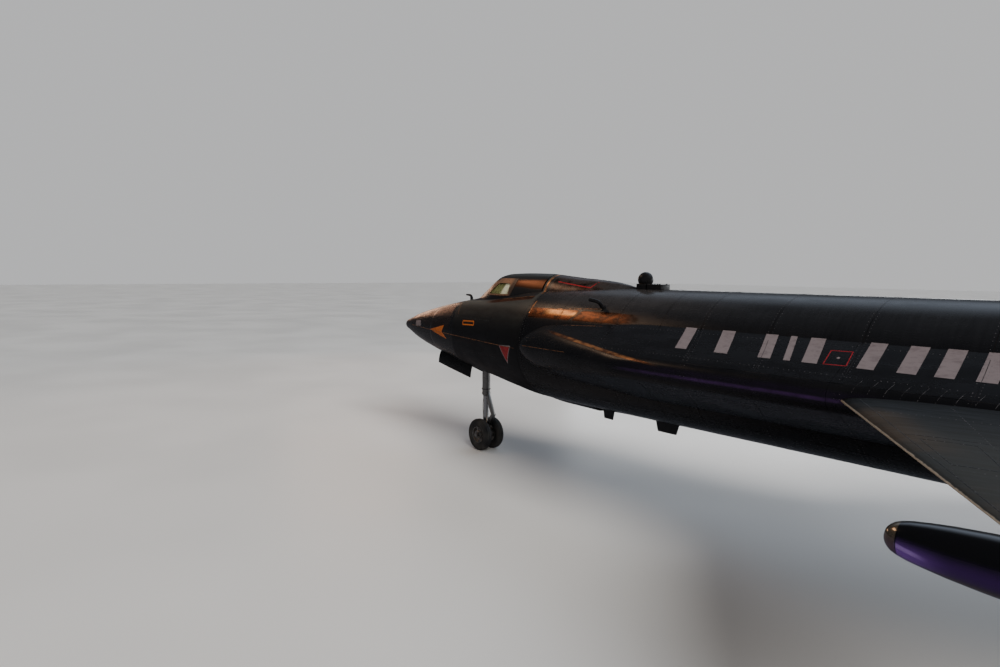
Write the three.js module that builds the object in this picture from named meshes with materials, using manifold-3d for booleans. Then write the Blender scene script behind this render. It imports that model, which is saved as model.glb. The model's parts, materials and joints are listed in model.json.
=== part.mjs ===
// Rocket-powered research aircraft, standing on its nose wheels and tail skids.
//
// Millimetres, +Z up, nose towards -X, port side towards -Y. Inside the model a place is given as
// station (aft of the nose tip), side (positive to starboard) and height above the body's centreline.
// The last lines stand the whole aircraft on the ground, centred on its own length.

import * as THREE from 'three';
import { mergeVertices } from 'three/addons/utils/BufferGeometryUtils.js';
import Module from 'manifold-3d';

const wasm = await Module();
wasm.setup();

// Driving dimensions.
const LENGTH = 15469;
const CENTRE_HEIGHT = 1700;
const BODY_RADIUS = 711;
const TUNNEL_SIDE = 1117.6;
const BODY_SIDES = 48;
const SEAT_GAP = 0.3;
const RUN_GAP = 6;

const BALL_RADIUS = 82.5;
const NOSE_FRONT = 95;
const FORWARD_FRONT = 1220;
const CENTRE_FRONT = 3655;
const AFT_FRONT = 9500;
const BODY_TAIL = 15120;
const TUNNEL_TAIL = 15050;
const WING = { apex: 6874, sweep: 36.75, rootTail: 11060, tailSweep: 17.77, inner: 1000, tip: 3440 };
const TAIL = { root: 1126, tip: 2755, tipChord: 643, sweep: 50.8, tailSweep: 18.1, droop: 15 };
const TAIL_SPINDLE = { station: 13950, radius: 45, inner: 900, outer: 1200 };
const FIN = { tail: 15000, rootChord: 3112, foot: BODY_RADIUS, tip: 2107, sweep: 30, halfWedge: 5 };
const RUDDER_SPINDLE = { station: 13350, radius: 50, foot: 980 };
const FLAP = { hinge: 10270, outer: 2490, pin: 12 };
const POD = { nose: 8950, radius: 101.5, side: 3500 };
const SILL = { front: 2075, frontHeight: 478, knee: 2600, kneeHeight: 500, rear: 3628, rearHeight: 600 };
const CABIN = { front: 2300, rear: 3590, floor: -420, skin: 40, canopySkin: 35 };
const PANEL = { front: 2640, rear: 2700, foot: -60, top: 440, coaming: 2480, coamingTop: 480 };
const CONSOLE = { front: 2760, rear: 3340, side: 290, foot: -200, top: 20 };
const STICK = { station: 2880, foot: 70, shaft: 16, grip: 24 };
const BAY = { front: 1232, rear: 2240, half: 180, roof: 100, doorRear: 2040, doorSkin: 14 };
const STUB = { top: 1172, brakeFoot: 728, brakeFront: 13976, brakeSkin: 36 };
const ENGINE = { front: 13100, bay: 600, bayTail: 15200, half: 400, blockLength: 850 };
const NOZZLE = { exit: 15330, radius: 500, wall: 18 };
const NOSE_WHEEL = { station: 2160, radius: 228.6, rim: 118, bore: 26.2, axle: 25, width: 112, side: 110 };
const SKID = { side: 1200, front: 12430, rear: 13330, ankle: 12950, ankleHeight: 95, ball: 48, width: 150 };
const LUG = { front: 4966, step: 5118, rear: 5300, half: 80, top: 768, padTop: 764 };
const LUG_BALL = { station: 5030, radius: 85, rise: 44 };

// Body of revolution: station, radius.
const BODY = [
  [NOSE_FRONT, 88], [200, 120], [360, 172], [530, 220], [880, 300], [FORWARD_FRONT, 368], [1580, 432],
  [2200, 525], [2700, 590], [3130, 648], [3630, 700], [4300, BODY_RADIUS], [BODY_TAIL, BODY_RADIUS],
];

// Hump over the cabin and its tail along the spine: station, crown height, half width, fullness.
const HUMP_BASE = 500;
const HUMP = [
  [2030, 512, 40, 1.5], [2280, 669, 168, 1.45], [2430, 762, 222, 1.35], [2570, 825, 258, 1.22],
  [2780, 858, 288, 1.1], [3170, 869, 303, 1], [3540, 865, 305, 1], [3640, 858, 304, 1],
  [3840, 841, 297, 1], [4060, 823, 280, 1], [4320, 806, 250, 1], [4630, 778, 190, 1], [4960, 716, 70, 1],
];
const CANOPY_TAIL = 3622;
const SPINE_FRONT = 3630;

// Chine tunnels along both sides: station, sharp corner's side, corner fillet.
const TUNNEL_SLOPE = 30;
const TUNNEL = [
  [3620, 740, 95], [3760, 900, 160], [3920, 1020, 230], [4150, 1126, 290], [4600, 1185, 245],
  [5050, 1215, 190], [5600, 1252.6, 135], [TUNNEL_TAIL, 1252.6, 135],
];
const TUNNEL_SPLIT = 7600;

// Symmetrical aerofoil: share of the chord, half thickness as a share of the chord.
const AEROFOIL = [
  [0, 0], [0.005, 0.0045], [0.02, 0.0095], [0.06, 0.0145], [0.15, 0.0195], [0.3, 0.0235],
  [0.5, 0.025], [0.7, 0.0225], [0.85, 0.0175], [1, 0.0085],
];

// Side window, seen from the side: station, height.
const WINDOW = [[2473, 616], [2524, 580], [2986, 587], [2995, 734], [2890, 742], [2620, 738]];

const FINISH = {
  skin: { color: 0x1b1917, roughness: 0.45, metalness: 0.75 },
  bronze: { color: 0x6e4a2c, roughness: 0.4, metalness: 0.85 },
  steel: { color: 0x8a8b8c, roughness: 0.35, metalness: 0.9 },
  gloss: { color: 0x120e16, roughness: 0.15, metalness: 0.5 },
  glass: { color: 0xcfd6a8, roughness: 0.05, metalness: 0, transparent: true, opacity: 0.35 },
  rubber: { color: 0x161616, roughness: 0.85, metalness: 0 },
  cabin: { color: 0x4c554c, roughness: 0.7, metalness: 0.1 },
  seat: { color: 0x3b3f31, roughness: 0.9, metalness: 0 },
  nozzle: { color: 0x4b4238, roughness: 0.4, metalness: 0.9 },
};

const radians = THREE.MathUtils.degToRad;
const tangent = (degrees) => Math.tan(radians(degrees));
const aircraft = new THREE.Group();

// Turns a closed geometry into a solid, with its faces pointing out.
function solid(geometry) {
  const bare = geometry.clone();
  bare.deleteAttribute('normal');
  bare.deleteAttribute('uv');
  const merged = mergeVertices(bare, 0.001);
  const position = merged.getAttribute('position');
  const corners = [new THREE.Vector3(), new THREE.Vector3(), new THREE.Vector3()];
  const faces = [];
  let volume = 0;
  for (let i = 0; i < merged.index.count; i += 3) {
    const face = [0, 1, 2].map((k) => merged.index.getX(i + k));
    if (new Set(face).size === 3) {
      face.forEach((vertex, k) => corners[k].fromBufferAttribute(position, vertex));
      volume += corners[0].dot(corners[1].clone().cross(corners[2]));
      faces.push(face);
    }
  }
  const turned = volume < 0 ? faces.map((face) => face.toReversed()) : faces;
  const mesh = new wasm.Mesh({
    numProp: 3,
    vertProperties: new Float32Array(position.array),
    triVerts: new Uint32Array(turned.flat()),
  });
  return new wasm.Manifold(mesh);
}

// Hangs a solid in the aircraft under its own name.
function add(name, shape, finish) {
  const mesh = shape.getMesh();
  const geometry = new THREE.BufferGeometry();
  geometry.setAttribute('position', new THREE.BufferAttribute(mesh.vertProperties, 3));
  geometry.setIndex(new THREE.BufferAttribute(mesh.triVerts, 1));
  geometry.computeVertexNormals();
  const piece = new THREE.Mesh(geometry, new THREE.MeshStandardMaterial(FINISH[finish]));
  piece.name = name;
  aircraft.add(piece);
}

// Skins a row of rings that have the same number of points, and closes both ends.
function loft(rings) {
  const count = rings[0].length;
  const points = rings.flat();
  const faces = [];
  for (let ring = 0; ring < rings.length - 1; ring += 1) {
    for (let i = 0; i < count; i += 1) {
      const here = ring * count + i;
      const next = ring * count + (i + 1) % count;
      faces.push([here, next, here + count], [next, next + count, here + count]);
    }
  }
  const span = new THREE.Box3().setFromPoints(rings[0]).getSize(new THREE.Vector3());
  const keys = ['x', 'y', 'z'].sort((a, b) => span[b] - span[a]).slice(0, 2);
  const cap = (ring, offset, reversed) => {
    const outline = ring.map((point) => new THREE.Vector2(point[keys[0]], point[keys[1]]));
    const clockwise = THREE.ShapeUtils.isClockWise(outline);
    const order = ring.map((_, i) => (clockwise ? count - 1 - i : i));
    const triangles = THREE.ShapeUtils.triangulateShape(order.map((i) => outline[i]), []);
    for (const triangle of triangles) {
      const face = triangle.map((i) => offset + order[i]);
      faces.push(clockwise === reversed ? face : face.toReversed());
    }
  };
  cap(rings[0], 0, true);
  cap(rings.at(-1), (rings.length - 1) * count, false);
  const geometry = new THREE.BufferGeometry();
  geometry.setAttribute('position', new THREE.BufferAttribute(
    new Float32Array(points.flatMap((point) => point.toArray())), 3));
  geometry.setIndex(faces.flat());
  return solid(geometry);
}

// Turns a profile of [station, radius] about a line along the body.
function revolve(profile, sides = BODY_SIDES, side = 0, height = 0) {
  const points = profile.map(([station, radius]) => new THREE.Vector2(radius, station));
  const geometry = new THREE.LatheGeometry(points, sides);
  geometry.rotateZ(-Math.PI / 2);
  geometry.translate(0, side, height);
  return solid(geometry);
}

function box(low, high) {
  const [x, y, z] = high.map((value, i) => value - low[i]);
  const geometry = new THREE.BoxGeometry(x, y, z);
  geometry.translate(...low.map((value, i) => (value + high[i]) / 2));
  return solid(geometry);
}

// A round rod from one point to another.
function rod(from, to, radius, sides = 16, endRadius = radius) {
  const start = new THREE.Vector3(...from);
  const line = new THREE.Vector3(...to).sub(start);
  const geometry = new THREE.CylinderGeometry(endRadius, radius, line.length(), sides);
  geometry.translate(0, line.length() / 2, 0);
  const turn = new THREE.Quaternion().setFromUnitVectors(new THREE.Vector3(0, 1, 0), line.normalize());
  geometry.applyQuaternion(turn);
  geometry.translate(...start.toArray());
  return solid(geometry);
}

// A round bar bent along a few points.
function bentBar(points, radius, steps = 10) {
  const outline = new THREE.Shape().absarc(0, 0, radius, 0, Math.PI * 2);
  const knots = points.map((point) => new THREE.Vector3(...point));
  const extrudePath = new THREE.CatmullRomCurve3(knots, false, 'centripetal');
  const settings = { steps, curveSegments: 5, extrudePath, bevelEnabled: false };
  return solid(new THREE.ExtrudeGeometry(outline, settings));
}

// An outline of [station, height] points carried across from one side place to another.
function crosswise(outline, from, to) {
  const shape = new THREE.Shape(outline.map(([station, height]) => new THREE.Vector2(station, height)));
  const geometry = new THREE.ExtrudeGeometry(shape, { depth: to - from, bevelEnabled: false });
  geometry.rotateX(Math.PI / 2);
  geometry.translate(0, to, 0);
  return solid(geometry);
}

// An outline of [station, side] points carried up from one height to another.
function upward(outline, from, to) {
  const shape = new THREE.Shape(outline.map(([station, side]) => new THREE.Vector2(station, side)));
  const geometry = new THREE.ExtrudeGeometry(shape, { depth: to - from, bevelEnabled: false });
  geometry.translate(0, 0, from);
  return solid(geometry);
}

const joined = (shapes) => shapes.reduce((whole, shape) => whole.add(shape));

// Reads a table between its rows, by the column asked for.
function read(table, at, column) {
  const last = table.findIndex((row) => row[0] >= at);
  if (last <= 0) return table[last < 0 ? table.length - 1 : 0][column];
  const [low, high] = [table[last - 1], table[last]];
  return low[column] + (high[column] - low[column]) * (at - low[0]) / (high[0] - low[0]);
}

// The stations of a table between two ends, with the ends themselves.
function stationsBetween(table, from, to) {
  const inside = table.map((row) => row[0]).filter((station) => station > from && station < to);
  return [from, ...inside, to];
}

// A length of the round body, thicker or thinner by an allowance.
function bodyLength(from, to, grow = 0) {
  const profile = stationsBetween(BODY, from, to).map((station) => [station, read(BODY, station, 1) + grow]);
  return revolve([[from, 0], ...profile, [to, 0]]);
}

// A length of the hump, grown or shrunk by an allowance.
function humpLength(from, to, grow = 0) {
  const arcSteps = 14;
  const low = 300;
  const rings = stationsBetween(HUMP, from, to).map((station) => {
    const crown = read(HUMP, station, 1) + grow * 1.15 - HUMP_BASE;
    const half = read(HUMP, station, 2) + grow;
    const fullness = read(HUMP, station, 3);
    const ring = [new THREE.Vector3(station, half, low)];
    for (let i = 0; i <= arcSteps; i += 1) {
      const angle = Math.PI * i / arcSteps;
      const across = Math.sign(Math.cos(angle)) * Math.abs(Math.cos(angle)) ** fullness;
      const up = Math.sin(angle) ** fullness;
      ring.push(new THREE.Vector3(station, half * across, HUMP_BASE + crown * up));
    }
    ring.push(new THREE.Vector3(station, -half, low));
    return ring;
  });
  return loft(rings);
}

// A length of one side's tunnel: two flats that meet in a rounded edge.
function tunnelLength(hand, from, to, grow = 0) {
  const inner = 450;
  const arcSteps = 6;
  const slope = radians(TUNNEL_SLOPE);
  const rings = stationsBetween(TUNNEL, from, to).map((station) => {
    const corner = read(TUNNEL, station, 1) + grow / Math.sin(slope);
    const fillet = read(TUNNEL, station, 2) + grow;
    const centre = corner - fillet / Math.sin(slope);
    const shoulder = (corner - inner) * Math.tan(slope);
    const ring = [new THREE.Vector3(station, hand * inner, shoulder)];
    for (let i = 0; i <= arcSteps; i += 1) {
      const angle = (Math.PI / 2 - slope) * (1 - 2 * i / arcSteps);
      ring.push(new THREE.Vector3(
        station, hand * (centre + fillet * Math.cos(angle)), fillet * Math.sin(angle)));
    }
    ring.push(new THREE.Vector3(station, hand * inner, -shoulder));
    return ring;
  });
  return loft(rings);
}

// A ring of the aerofoil between two stations, at one side place and height.
function aerofoilRing(nose, tail, side, height = 0) {
  const chord = tail - nose;
  const upper = AEROFOIL.map(([share, half]) => [nose + share * chord, half * chord]);
  const lower = upper.slice(1).toReversed().map(([station, half]) => [station, -half]);
  return [...upper, ...lower].map(([station, half]) => new THREE.Vector3(station, side, height + half));
}

const wingNose = (side) => WING.apex + side * tangent(WING.sweep);
const wingTail = (side) => WING.rootTail - (side - TUNNEL_SIDE) * tangent(WING.tailSweep);
const wingHalf = (side, station) => {
  const chord = wingTail(side) - wingNose(side);
  return chord * read(AEROFOIL, (station - wingNose(side)) / chord, 1);
};

const wholeBody = bodyLength(NOSE_FRONT, BODY_TAIL, SEAT_GAP);

// Nose: the flow-sensing ball in its socket, the solid nose and the open-bayed forward body.
function nose() {
  const ball = (radius) => {
    const geometry = new THREE.SphereGeometry(radius, 24, 16);
    geometry.rotateZ(Math.PI / 2);
    geometry.translate(BALL_RADIUS, 0, 0);
    return solid(geometry);
  };
  const socket = ball(BALL_RADIUS + 0.5);
  add('nose_ball', ball(BALL_RADIUS), 'steel');
  add('nose_cone', bodyLength(NOSE_FRONT, FORWARD_FRONT - SEAT_GAP).subtract(socket), 'skin');
}

// What lifts off with the canopy: everything above a sloping sill.
function canopySpace(shrink) {
  const outline = [
    [SILL.front - 45, 560], [SILL.front, SILL.frontHeight], [SILL.knee, SILL.kneeHeight],
    [SILL.rear, SILL.rearHeight], [SILL.rear, 1000], [SILL.front - 45, 1000],
  ];
  return crosswise(outline.map(([station, height]) => [station, height + shrink]), -700, 700);
}

const cabinSpace = bodyLength(CABIN.front, CABIN.rear, -CABIN.skin)
  .intersect(box([CABIN.front, -700, CABIN.floor], [CABIN.rear, 700, 700]));
const HINGE_STATIONS = [1300, 1620, 1940];
const KNUCKLE = { radius: 7, length: 60, drop: 8, inset: 2 };
const doorHinge = (station) => -Math.sqrt(read(BODY, station, 1) ** 2 - BAY.half ** 2) - KNUCKLE.drop;

// The line that a nose door turns on, as a rod of the given radius about one knuckle's middle.
function doorKnuckle(hand, station, radius, length) {
  const place = (along) => {
    const share = (along - BAY.front) / (BAY.doorRear - BAY.front);
    const height = doorHinge(BAY.front) + share * (doorHinge(BAY.doorRear) - doorHinge(BAY.front));
    return [along, hand * (BAY.half - KNUCKLE.inset), height];
  };
  return rod(place(station - length / 2), place(station + length / 2), radius);
}

function forwardBody() {
  const bay = box([BAY.front, -BAY.half, -700], [BAY.rear, BAY.half, BAY.roof]);
  let shell = bodyLength(FORWARD_FRONT, CENTRE_FRONT - SEAT_GAP)
    .subtract(bay)
    .subtract(cabinSpace)
    .subtract(canopySpace(0));
  const slot = { radius: KNUCKLE.radius + 0.8, length: KNUCKLE.length + 2 * RUN_GAP };
  for (const hand of [-1, 1]) {
    for (const station of HINGE_STATIONS) {
      shell = shell.subtract(doorKnuckle(hand, station, slot.radius, slot.length));
    }
  }
  add('forward_fuselage', shell, 'skin');
}

function canopy() {
  const outer = bodyLength(1900, CANOPY_TAIL).add(humpLength(2030, CANOPY_TAIL));
  const inner = cabinSpace
    .add(bodyLength(CABIN.front, CANOPY_TAIL, -CABIN.skin).intersect(
      box([CABIN.front, -700, 300], [CANOPY_TAIL, 700, 800])))
    .add(humpLength(2250, CANOPY_TAIL, -CABIN.canopySkin));
  const opening = crosswise(WINDOW, -600, 600);
  const shell = outer.subtract(inner).intersect(canopySpace(0.5)).subtract(opening);
  add('canopy', shell, 'bronze');
  const corners = WINDOW.length;
  const centre = [0, 1].map((i) => WINDOW.reduce((sum, point) => sum + point[i] / corners, 0));
  const fit = 0.994;
  const fitted = WINDOW.map((point) => point.map((value, i) => centre[i] + (value - centre[i]) * fit));
  const pane = humpLength(2200, 3200, -8).subtract(humpLength(2200, 3200, -20));
  add('window_left', pane.intersect(crosswise(fitted, -600, -20)), 'glass');
  add('window_right', pane.intersect(crosswise(fitted, 20, 600)), 'glass');
}

function cabin() {
  const room = bodyLength(CABIN.front, CABIN.rear, -CABIN.skin - SEAT_GAP);
  const floor = CABIN.floor + SEAT_GAP;
  const panel = joined([
    box([PANEL.front, -600, PANEL.foot], [PANEL.rear, 600, PANEL.top]),
    box([PANEL.coaming, -600, PANEL.top], [PANEL.rear + 20, 600, PANEL.coamingTop]),
  ]).intersect(room);
  add('instrument_panel', panel, 'cabin');
  for (const [name, hand] of [['left', -1], ['right', 1]]) {
    const sides = [hand * CONSOLE.side, hand * 700].sort((a, b) => a - b);
    const low = [CONSOLE.front, sides[0], CONSOLE.foot];
    const high = [CONSOLE.rear, sides[1], CONSOLE.top];
    add(`console_${name}`, box(low, high).intersect(room), 'cabin');
  }
  const knee = [STICK.station - 30, 0, 35];
  const stick = joined([
    rod([STICK.station, 0, floor], [STICK.station, 0, floor + 60], STICK.foot),
    rod([STICK.station, 0, floor + 30], knee, STICK.shaft),
    rod(knee, [STICK.station - 50, 0, 150], STICK.grip),
  ]);
  add('control_stick', stick, 'cabin');
  // Seat seen from the side: station, height.
  const body = [
    [3400, floor], [3560, 560], [3470, 560], [3320, 20], [3240, -70], [2950, -70], [2950, -190],
    [2990, floor],
  ];
  const headrest = [[3520, 400], [3565, 700], [3450, 700], [3420, 540], [3440, 400]];
  add('seat', joined([crosswise(body, -225, 225), crosswise(headrest, -125, 125)]), 'seat');
}

function fuselage() {
  add('centre_fuselage', bodyLength(CENTRE_FRONT, AFT_FRONT - SEAT_GAP), 'skin');
  const { front, bay, bayTail } = ENGINE;
  const engineBay = revolve([[front, 0], [front, bay], [bayTail, bay], [bayTail, 0]]);
  add('aft_fuselage', bodyLength(AFT_FRONT, BODY_TAIL).subtract(engineBay), 'skin');
  add('spine_fairing', humpLength(SPINE_FRONT, 4960).subtract(wholeBody), 'skin');
  // Belly fairing: station, depth below the centreline, half width.
  const belly = [[3250, 655, 60], [3500, 706, 165], [3900, 744, 225], [4440, 757, 235]];
  const arcSteps = 8;
  const top = 560;
  const rings = belly.map(([station, depth, half]) => Array.from({ length: arcSteps + 1 }, (_, i) => {
    const angle = Math.PI * i / arcSteps;
    return new THREE.Vector3(station, half * Math.cos(angle), -top - (depth - top) * Math.sin(angle));
  }));
  add('belly_fairing', loft(rings).subtract(wholeBody), 'skin');
}

function tunnels() {
  for (const [name, hand] of [['left', -1], ['right', 1]]) {
    const front = tunnelLength(hand, TUNNEL[0][0], TUNNEL_SPLIT - SEAT_GAP).subtract(wholeBody);
    add(`side_tunnel_front_${name}`, front, 'skin');
    const flapPin = rod([FLAP.hinge, hand * 1060, 0], [FLAP.hinge, hand * 1170, 0], FLAP.pin);
    const { station, radius, inner, outer } = TAIL_SPINDLE;
    const bore = rod([station, hand * (inner - 20), 0], [station, hand * (outer + 100), 0], radius + 0.7, 24);
    const rear = tunnelLength(hand, TUNNEL_SPLIT, TUNNEL_TAIL).subtract(wholeBody).add(flapPin);
    add(`side_tunnel_rear_${name}`, rear.subtract(bore), 'skin');
  }
}

function podShape(hand, grow = 0) {
  // Station aft of the pod's nose, radius.
  const profile = [
    [0, 0], [6, 24], [25, 47], [60, 62], [180, 82], [340, 96],
    [520, POD.radius], [1080, POD.radius], [1320, 80], [1470, 55],
  ];
  const points = profile.map(([along, radius], i) => [POD.nose + along, i ? radius + grow : 0]);
  const sides = 24;
  return revolve([...points, [points.at(-1)[0], 0]], sides, hand * POD.side);
}

function wings() {
  const inside = WING.inner - 100;
  const tail = 11300;
  const depth = 200;
  for (const [name, hand] of [['left', -1], ['right', 1]]) {
    const ring = (side) => aerofoilRing(wingNose(side), wingTail(side), hand * side);
    const blank = loft([ring(WING.inner), ring(WING.tip)]);
    const bar = (from, to, grow) => rod(
      [FLAP.hinge, hand * from, 0], [FLAP.hinge, hand * to, 0],
      wingHalf(from, FLAP.hinge) + grow, 32, wingHalf(to, FLAP.hinge) + grow);
    const block = (from, to) => {
      const sides = [hand * from, hand * to].sort((a, b) => a - b);
      return box([FLAP.hinge, sides[0], -depth], [tail, sides[1], depth]);
    };
    const pin = rod(
      [FLAP.hinge, hand * (FLAP.outer - 50), 0], [FLAP.hinge, hand * (FLAP.outer + 40), 0], FLAP.pin);
    const wing = blank
      .subtract(block(inside, FLAP.outer))
      .subtract(bar(inside, FLAP.outer, RUN_GAP))
      .subtract(tunnelLength(hand, WING.apex - 500, 12000, SEAT_GAP))
      .subtract(podShape(hand, SEAT_GAP))
      .add(pin);
    add(`wing_${name}`, wing, 'skin');
    const [root, tip] = [TUNNEL_SIDE + RUN_GAP, FLAP.outer - RUN_GAP];
    const bore = (from, to) => rod(
      [FLAP.hinge, hand * from, 0], [FLAP.hinge, hand * to, 0], FLAP.pin + 0.6);
    const flap = blank.intersect(block(root, tip))
      .add(blank.intersect(bar(root, tip, -0.5)))
      .subtract(bore(root - 20, 1176))
      .subtract(bore(tip - 50, tip + 20));
    add(`flap_${name}`, flap, 'skin');
    add(`wing_tip_pod_${name}`, podShape(hand), 'gloss');
  }
}

function tailplanes() {
  const tipNose = LENGTH - TAIL.tipChord;
  const reach = TAIL.tip - TAIL.root;
  for (const [name, hand] of [['left', -1], ['right', 1]]) {
    const root = aerofoilRing(
      tipNose - reach * tangent(TAIL.sweep), LENGTH - reach * tangent(TAIL.tailSweep), hand * TAIL.root);
    const tip = aerofoilRing(tipNose, LENGTH, hand * TAIL.tip, -reach * tangent(TAIL.droop));
    const { station, radius, inner, outer } = TAIL_SPINDLE;
    const spindle = rod([station, hand * inner, 0], [station, hand * outer, 0], radius, 24);
    add(`tailplane_${name}`, loft([root, tip]).add(spindle), 'skin');
  }
}

const finNose = (height) => FIN.tail - FIN.rootChord + (Math.abs(height) - FIN.foot) * tangent(FIN.sweep);

// A wedge-shaped length of fin between two heights.
function finLength(from, to) {
  const edge = { half: 7, length: 12 };
  const rings = [from, to].map((height) => {
    const front = finNose(height);
    const half = (FIN.tail - front) * tangent(FIN.halfWedge);
    const starboard = [[FIN.tail, half], [front + edge.length, edge.half], [front, edge.half / 2]];
    const port = starboard.toReversed().map(([station, side]) => [station, -side]);
    return [...port, ...starboard].map(([station, side]) => new THREE.Vector3(station, side, height));
  });
  return loft(rings);
}

// A speed brake seen from above, with its allowance to the fin all round.
function brakeOutline(hand, grow) {
  const half = (station) => (station - finNose(STUB.top)) * tangent(FIN.halfWedge);
  const front = STUB.brakeFront - grow;
  const inside = STUB.brakeSkin + (grow ? 0.5 : 0);
  const outside = grow ? 200 : 0;
  return [
    [front, hand * (half(front) - inside)], [FIN.tail + grow, hand * (half(FIN.tail + grow) - inside)],
    [FIN.tail + grow, hand * (half(FIN.tail + grow) + outside)], [front, hand * (half(front) + outside)],
  ];
}

function fins() {
  const { station, radius, foot } = RUDDER_SPINDLE;
  const spindle = (bottom, top, grow) => rod([station, 0, bottom], [station, 0, top], radius + grow, 24);
  const above = STUB.top + 100;
  for (const [name, sign] of [['upper', 1], ['lower', -1]]) {
    const reach = (low, high) => [Math.min(sign * low, sign * high), Math.max(sign * low, sign * high)];
    let stub = finLength(sign * 500, sign * STUB.top).subtract(wholeBody);
    for (const [side, hand] of [['left', -1], ['right', 1]]) {
      const recess = upward(brakeOutline(hand, RUN_GAP), ...reach(STUB.brakeFoot - RUN_GAP, above));
      stub = stub.subtract(recess);
      const brake = upward(brakeOutline(hand, 0), ...reach(STUB.brakeFoot, STUB.top - RUN_GAP));
      add(`speed_brake_${name}_${side}`, brake, 'skin');
    }
    if (name === 'upper') stub = stub.subtract(spindle(foot - RUN_GAP, above, 0.7));
    add(`fin_stub_${name}`, stub, 'skin');
  }
  const rudder = finLength(STUB.top + 8, FIN.tip).add(spindle(foot, STUB.top + 60, 0));
  add('rudder_upper', rudder, 'skin');
}

function engine() {
  const rear = ENGINE.front + ENGINE.blockLength;
  const half = ENGINE.half;
  add('engine_block', box([ENGINE.front + SEAT_GAP, -half, -half], [rear, half, half]), 'steel');
  // Bell: station, inner radius.
  const bell = [
    [rear + SEAT_GAP, 150], [14200, 150], [14330, 112], [14450, 150], [14700, 290], [15000, 410],
    [NOZZLE.exit, NOZZLE.radius - NOZZLE.wall],
  ];
  const outer = bell.map(([station, radius]) => [station, radius + NOZZLE.wall]);
  const profile = [...bell, ...outer.toReversed(), bell[0]];
  add('engine_nozzle', revolve(profile, 32), 'nozzle');
}

function noseGear() {
  const { station, radius, rim, bore, width, side } = NOSE_WHEEL;
  const axle = radius - CENTRE_HEIGHT;
  const axleEnd = side + width / 2 + 20;
  const trunnion = { height: -60, radius: 36, end: BAY.half - SEAT_GAP };
  // Torque links: station behind the leg, height above the axle.
  const lowerLink = [[27, 48], [190, 300], [152, 318], [19, 122]];
  const upperLink = [[41, 647], [194, 309], [148, 291], [17, 533]];
  const link = (outline, half) => crosswise(
    outline.map(([behind, above]) => [station + behind, axle + above]), -half, half);
  const leg = joined([
    rod([station, 0, axle + 560], [station, 0, -40], 58, 20),
    rod([station, 0, axle], [station, 0, axle + 600], 38),
    rod([station, -axleEnd, axle], [station, axleEnd, axle], NOSE_WHEEL.axle),
    rod([station, -trunnion.end, trunnion.height], [station, trunnion.end, trunnion.height], trunnion.radius),
    rod([station, 0, axle - 30], [station, 0, axle + 60], 46),
    link(lowerLink, 31),
    link(upperLink, 23),
  ]);
  add('nose_gear_leg', leg, 'steel');
  // Wheel and tyre: radius, distance from the wheel's middle.
  const disc = [[bore, 50], [60, 50], [70, 20], [100, 20], [rim, 48]];
  const half = width / 2;
  const tyre = [
    [rim + SEAT_GAP, half * 0.8], [160, half], [205, half * 0.92], [radius - 4, half * 0.55],
    [radius, half * 0.25],
  ];
  const turned = (flank, hand) => {
    const mirrored = flank.toReversed().map(([r, out]) => [r, -out]);
    const closed = [...mirrored.toReversed(), ...flank.toReversed(), mirrored.at(-1)];
    const points = closed.map(([r, out]) => new THREE.Vector2(r, out));
    const geometry = new THREE.LatheGeometry(points, 24);
    geometry.translate(station, hand * side, axle);
    return solid(geometry);
  };
  for (const [name, hand] of [['left', -1], ['right', 1]]) {
    add(`nose_wheel_${name}`, turned(disc, hand), 'steel');
    add(`nose_tyre_${name}`, turned(tyre, hand), 'rubber');
  }
}

// A nose door is cut out of the skin where it lies when shut, then turned down about its hinge.
function noseDoors() {
  const openAngle = 84;
  const rear = BAY.rear + 160;
  const skin = bodyLength(FORWARD_FRONT, rear)
    .subtract(bodyLength(FORWARD_FRONT - 20, rear + 20, -BAY.doorSkin));
  for (const [name, hand] of [['left', -1], ['right', 1]]) {
    const sides = [hand * 2.5, hand * (BAY.half - 4)].sort((a, b) => a - b);
    let door = skin.intersect(box([BAY.front + RUN_GAP, sides[0], -700], [BAY.doorRear, sides[1], 0]));
    for (const station of HINGE_STATIONS) {
      door = door.add(doorKnuckle(hand, station, KNUCKLE.radius, KNUCKLE.length));
    }
    const side = hand * (BAY.half - KNUCKLE.inset);
    const start = new THREE.Vector3(BAY.front, side, doorHinge(BAY.front));
    const end = new THREE.Vector3(BAY.doorRear, side, doorHinge(BAY.doorRear));
    const turn = new THREE.Matrix4().makeRotationAxis(end.sub(start).normalize(), radians(hand * openAngle));
    const swing = new THREE.Matrix4().makeTranslation(start)
      .multiply(turn)
      .multiply(new THREE.Matrix4().makeTranslation(start.clone().negate()));
    add(`nose_gear_door_${name}`, door.transform(swing.elements), 'skin');
  }
}

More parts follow.
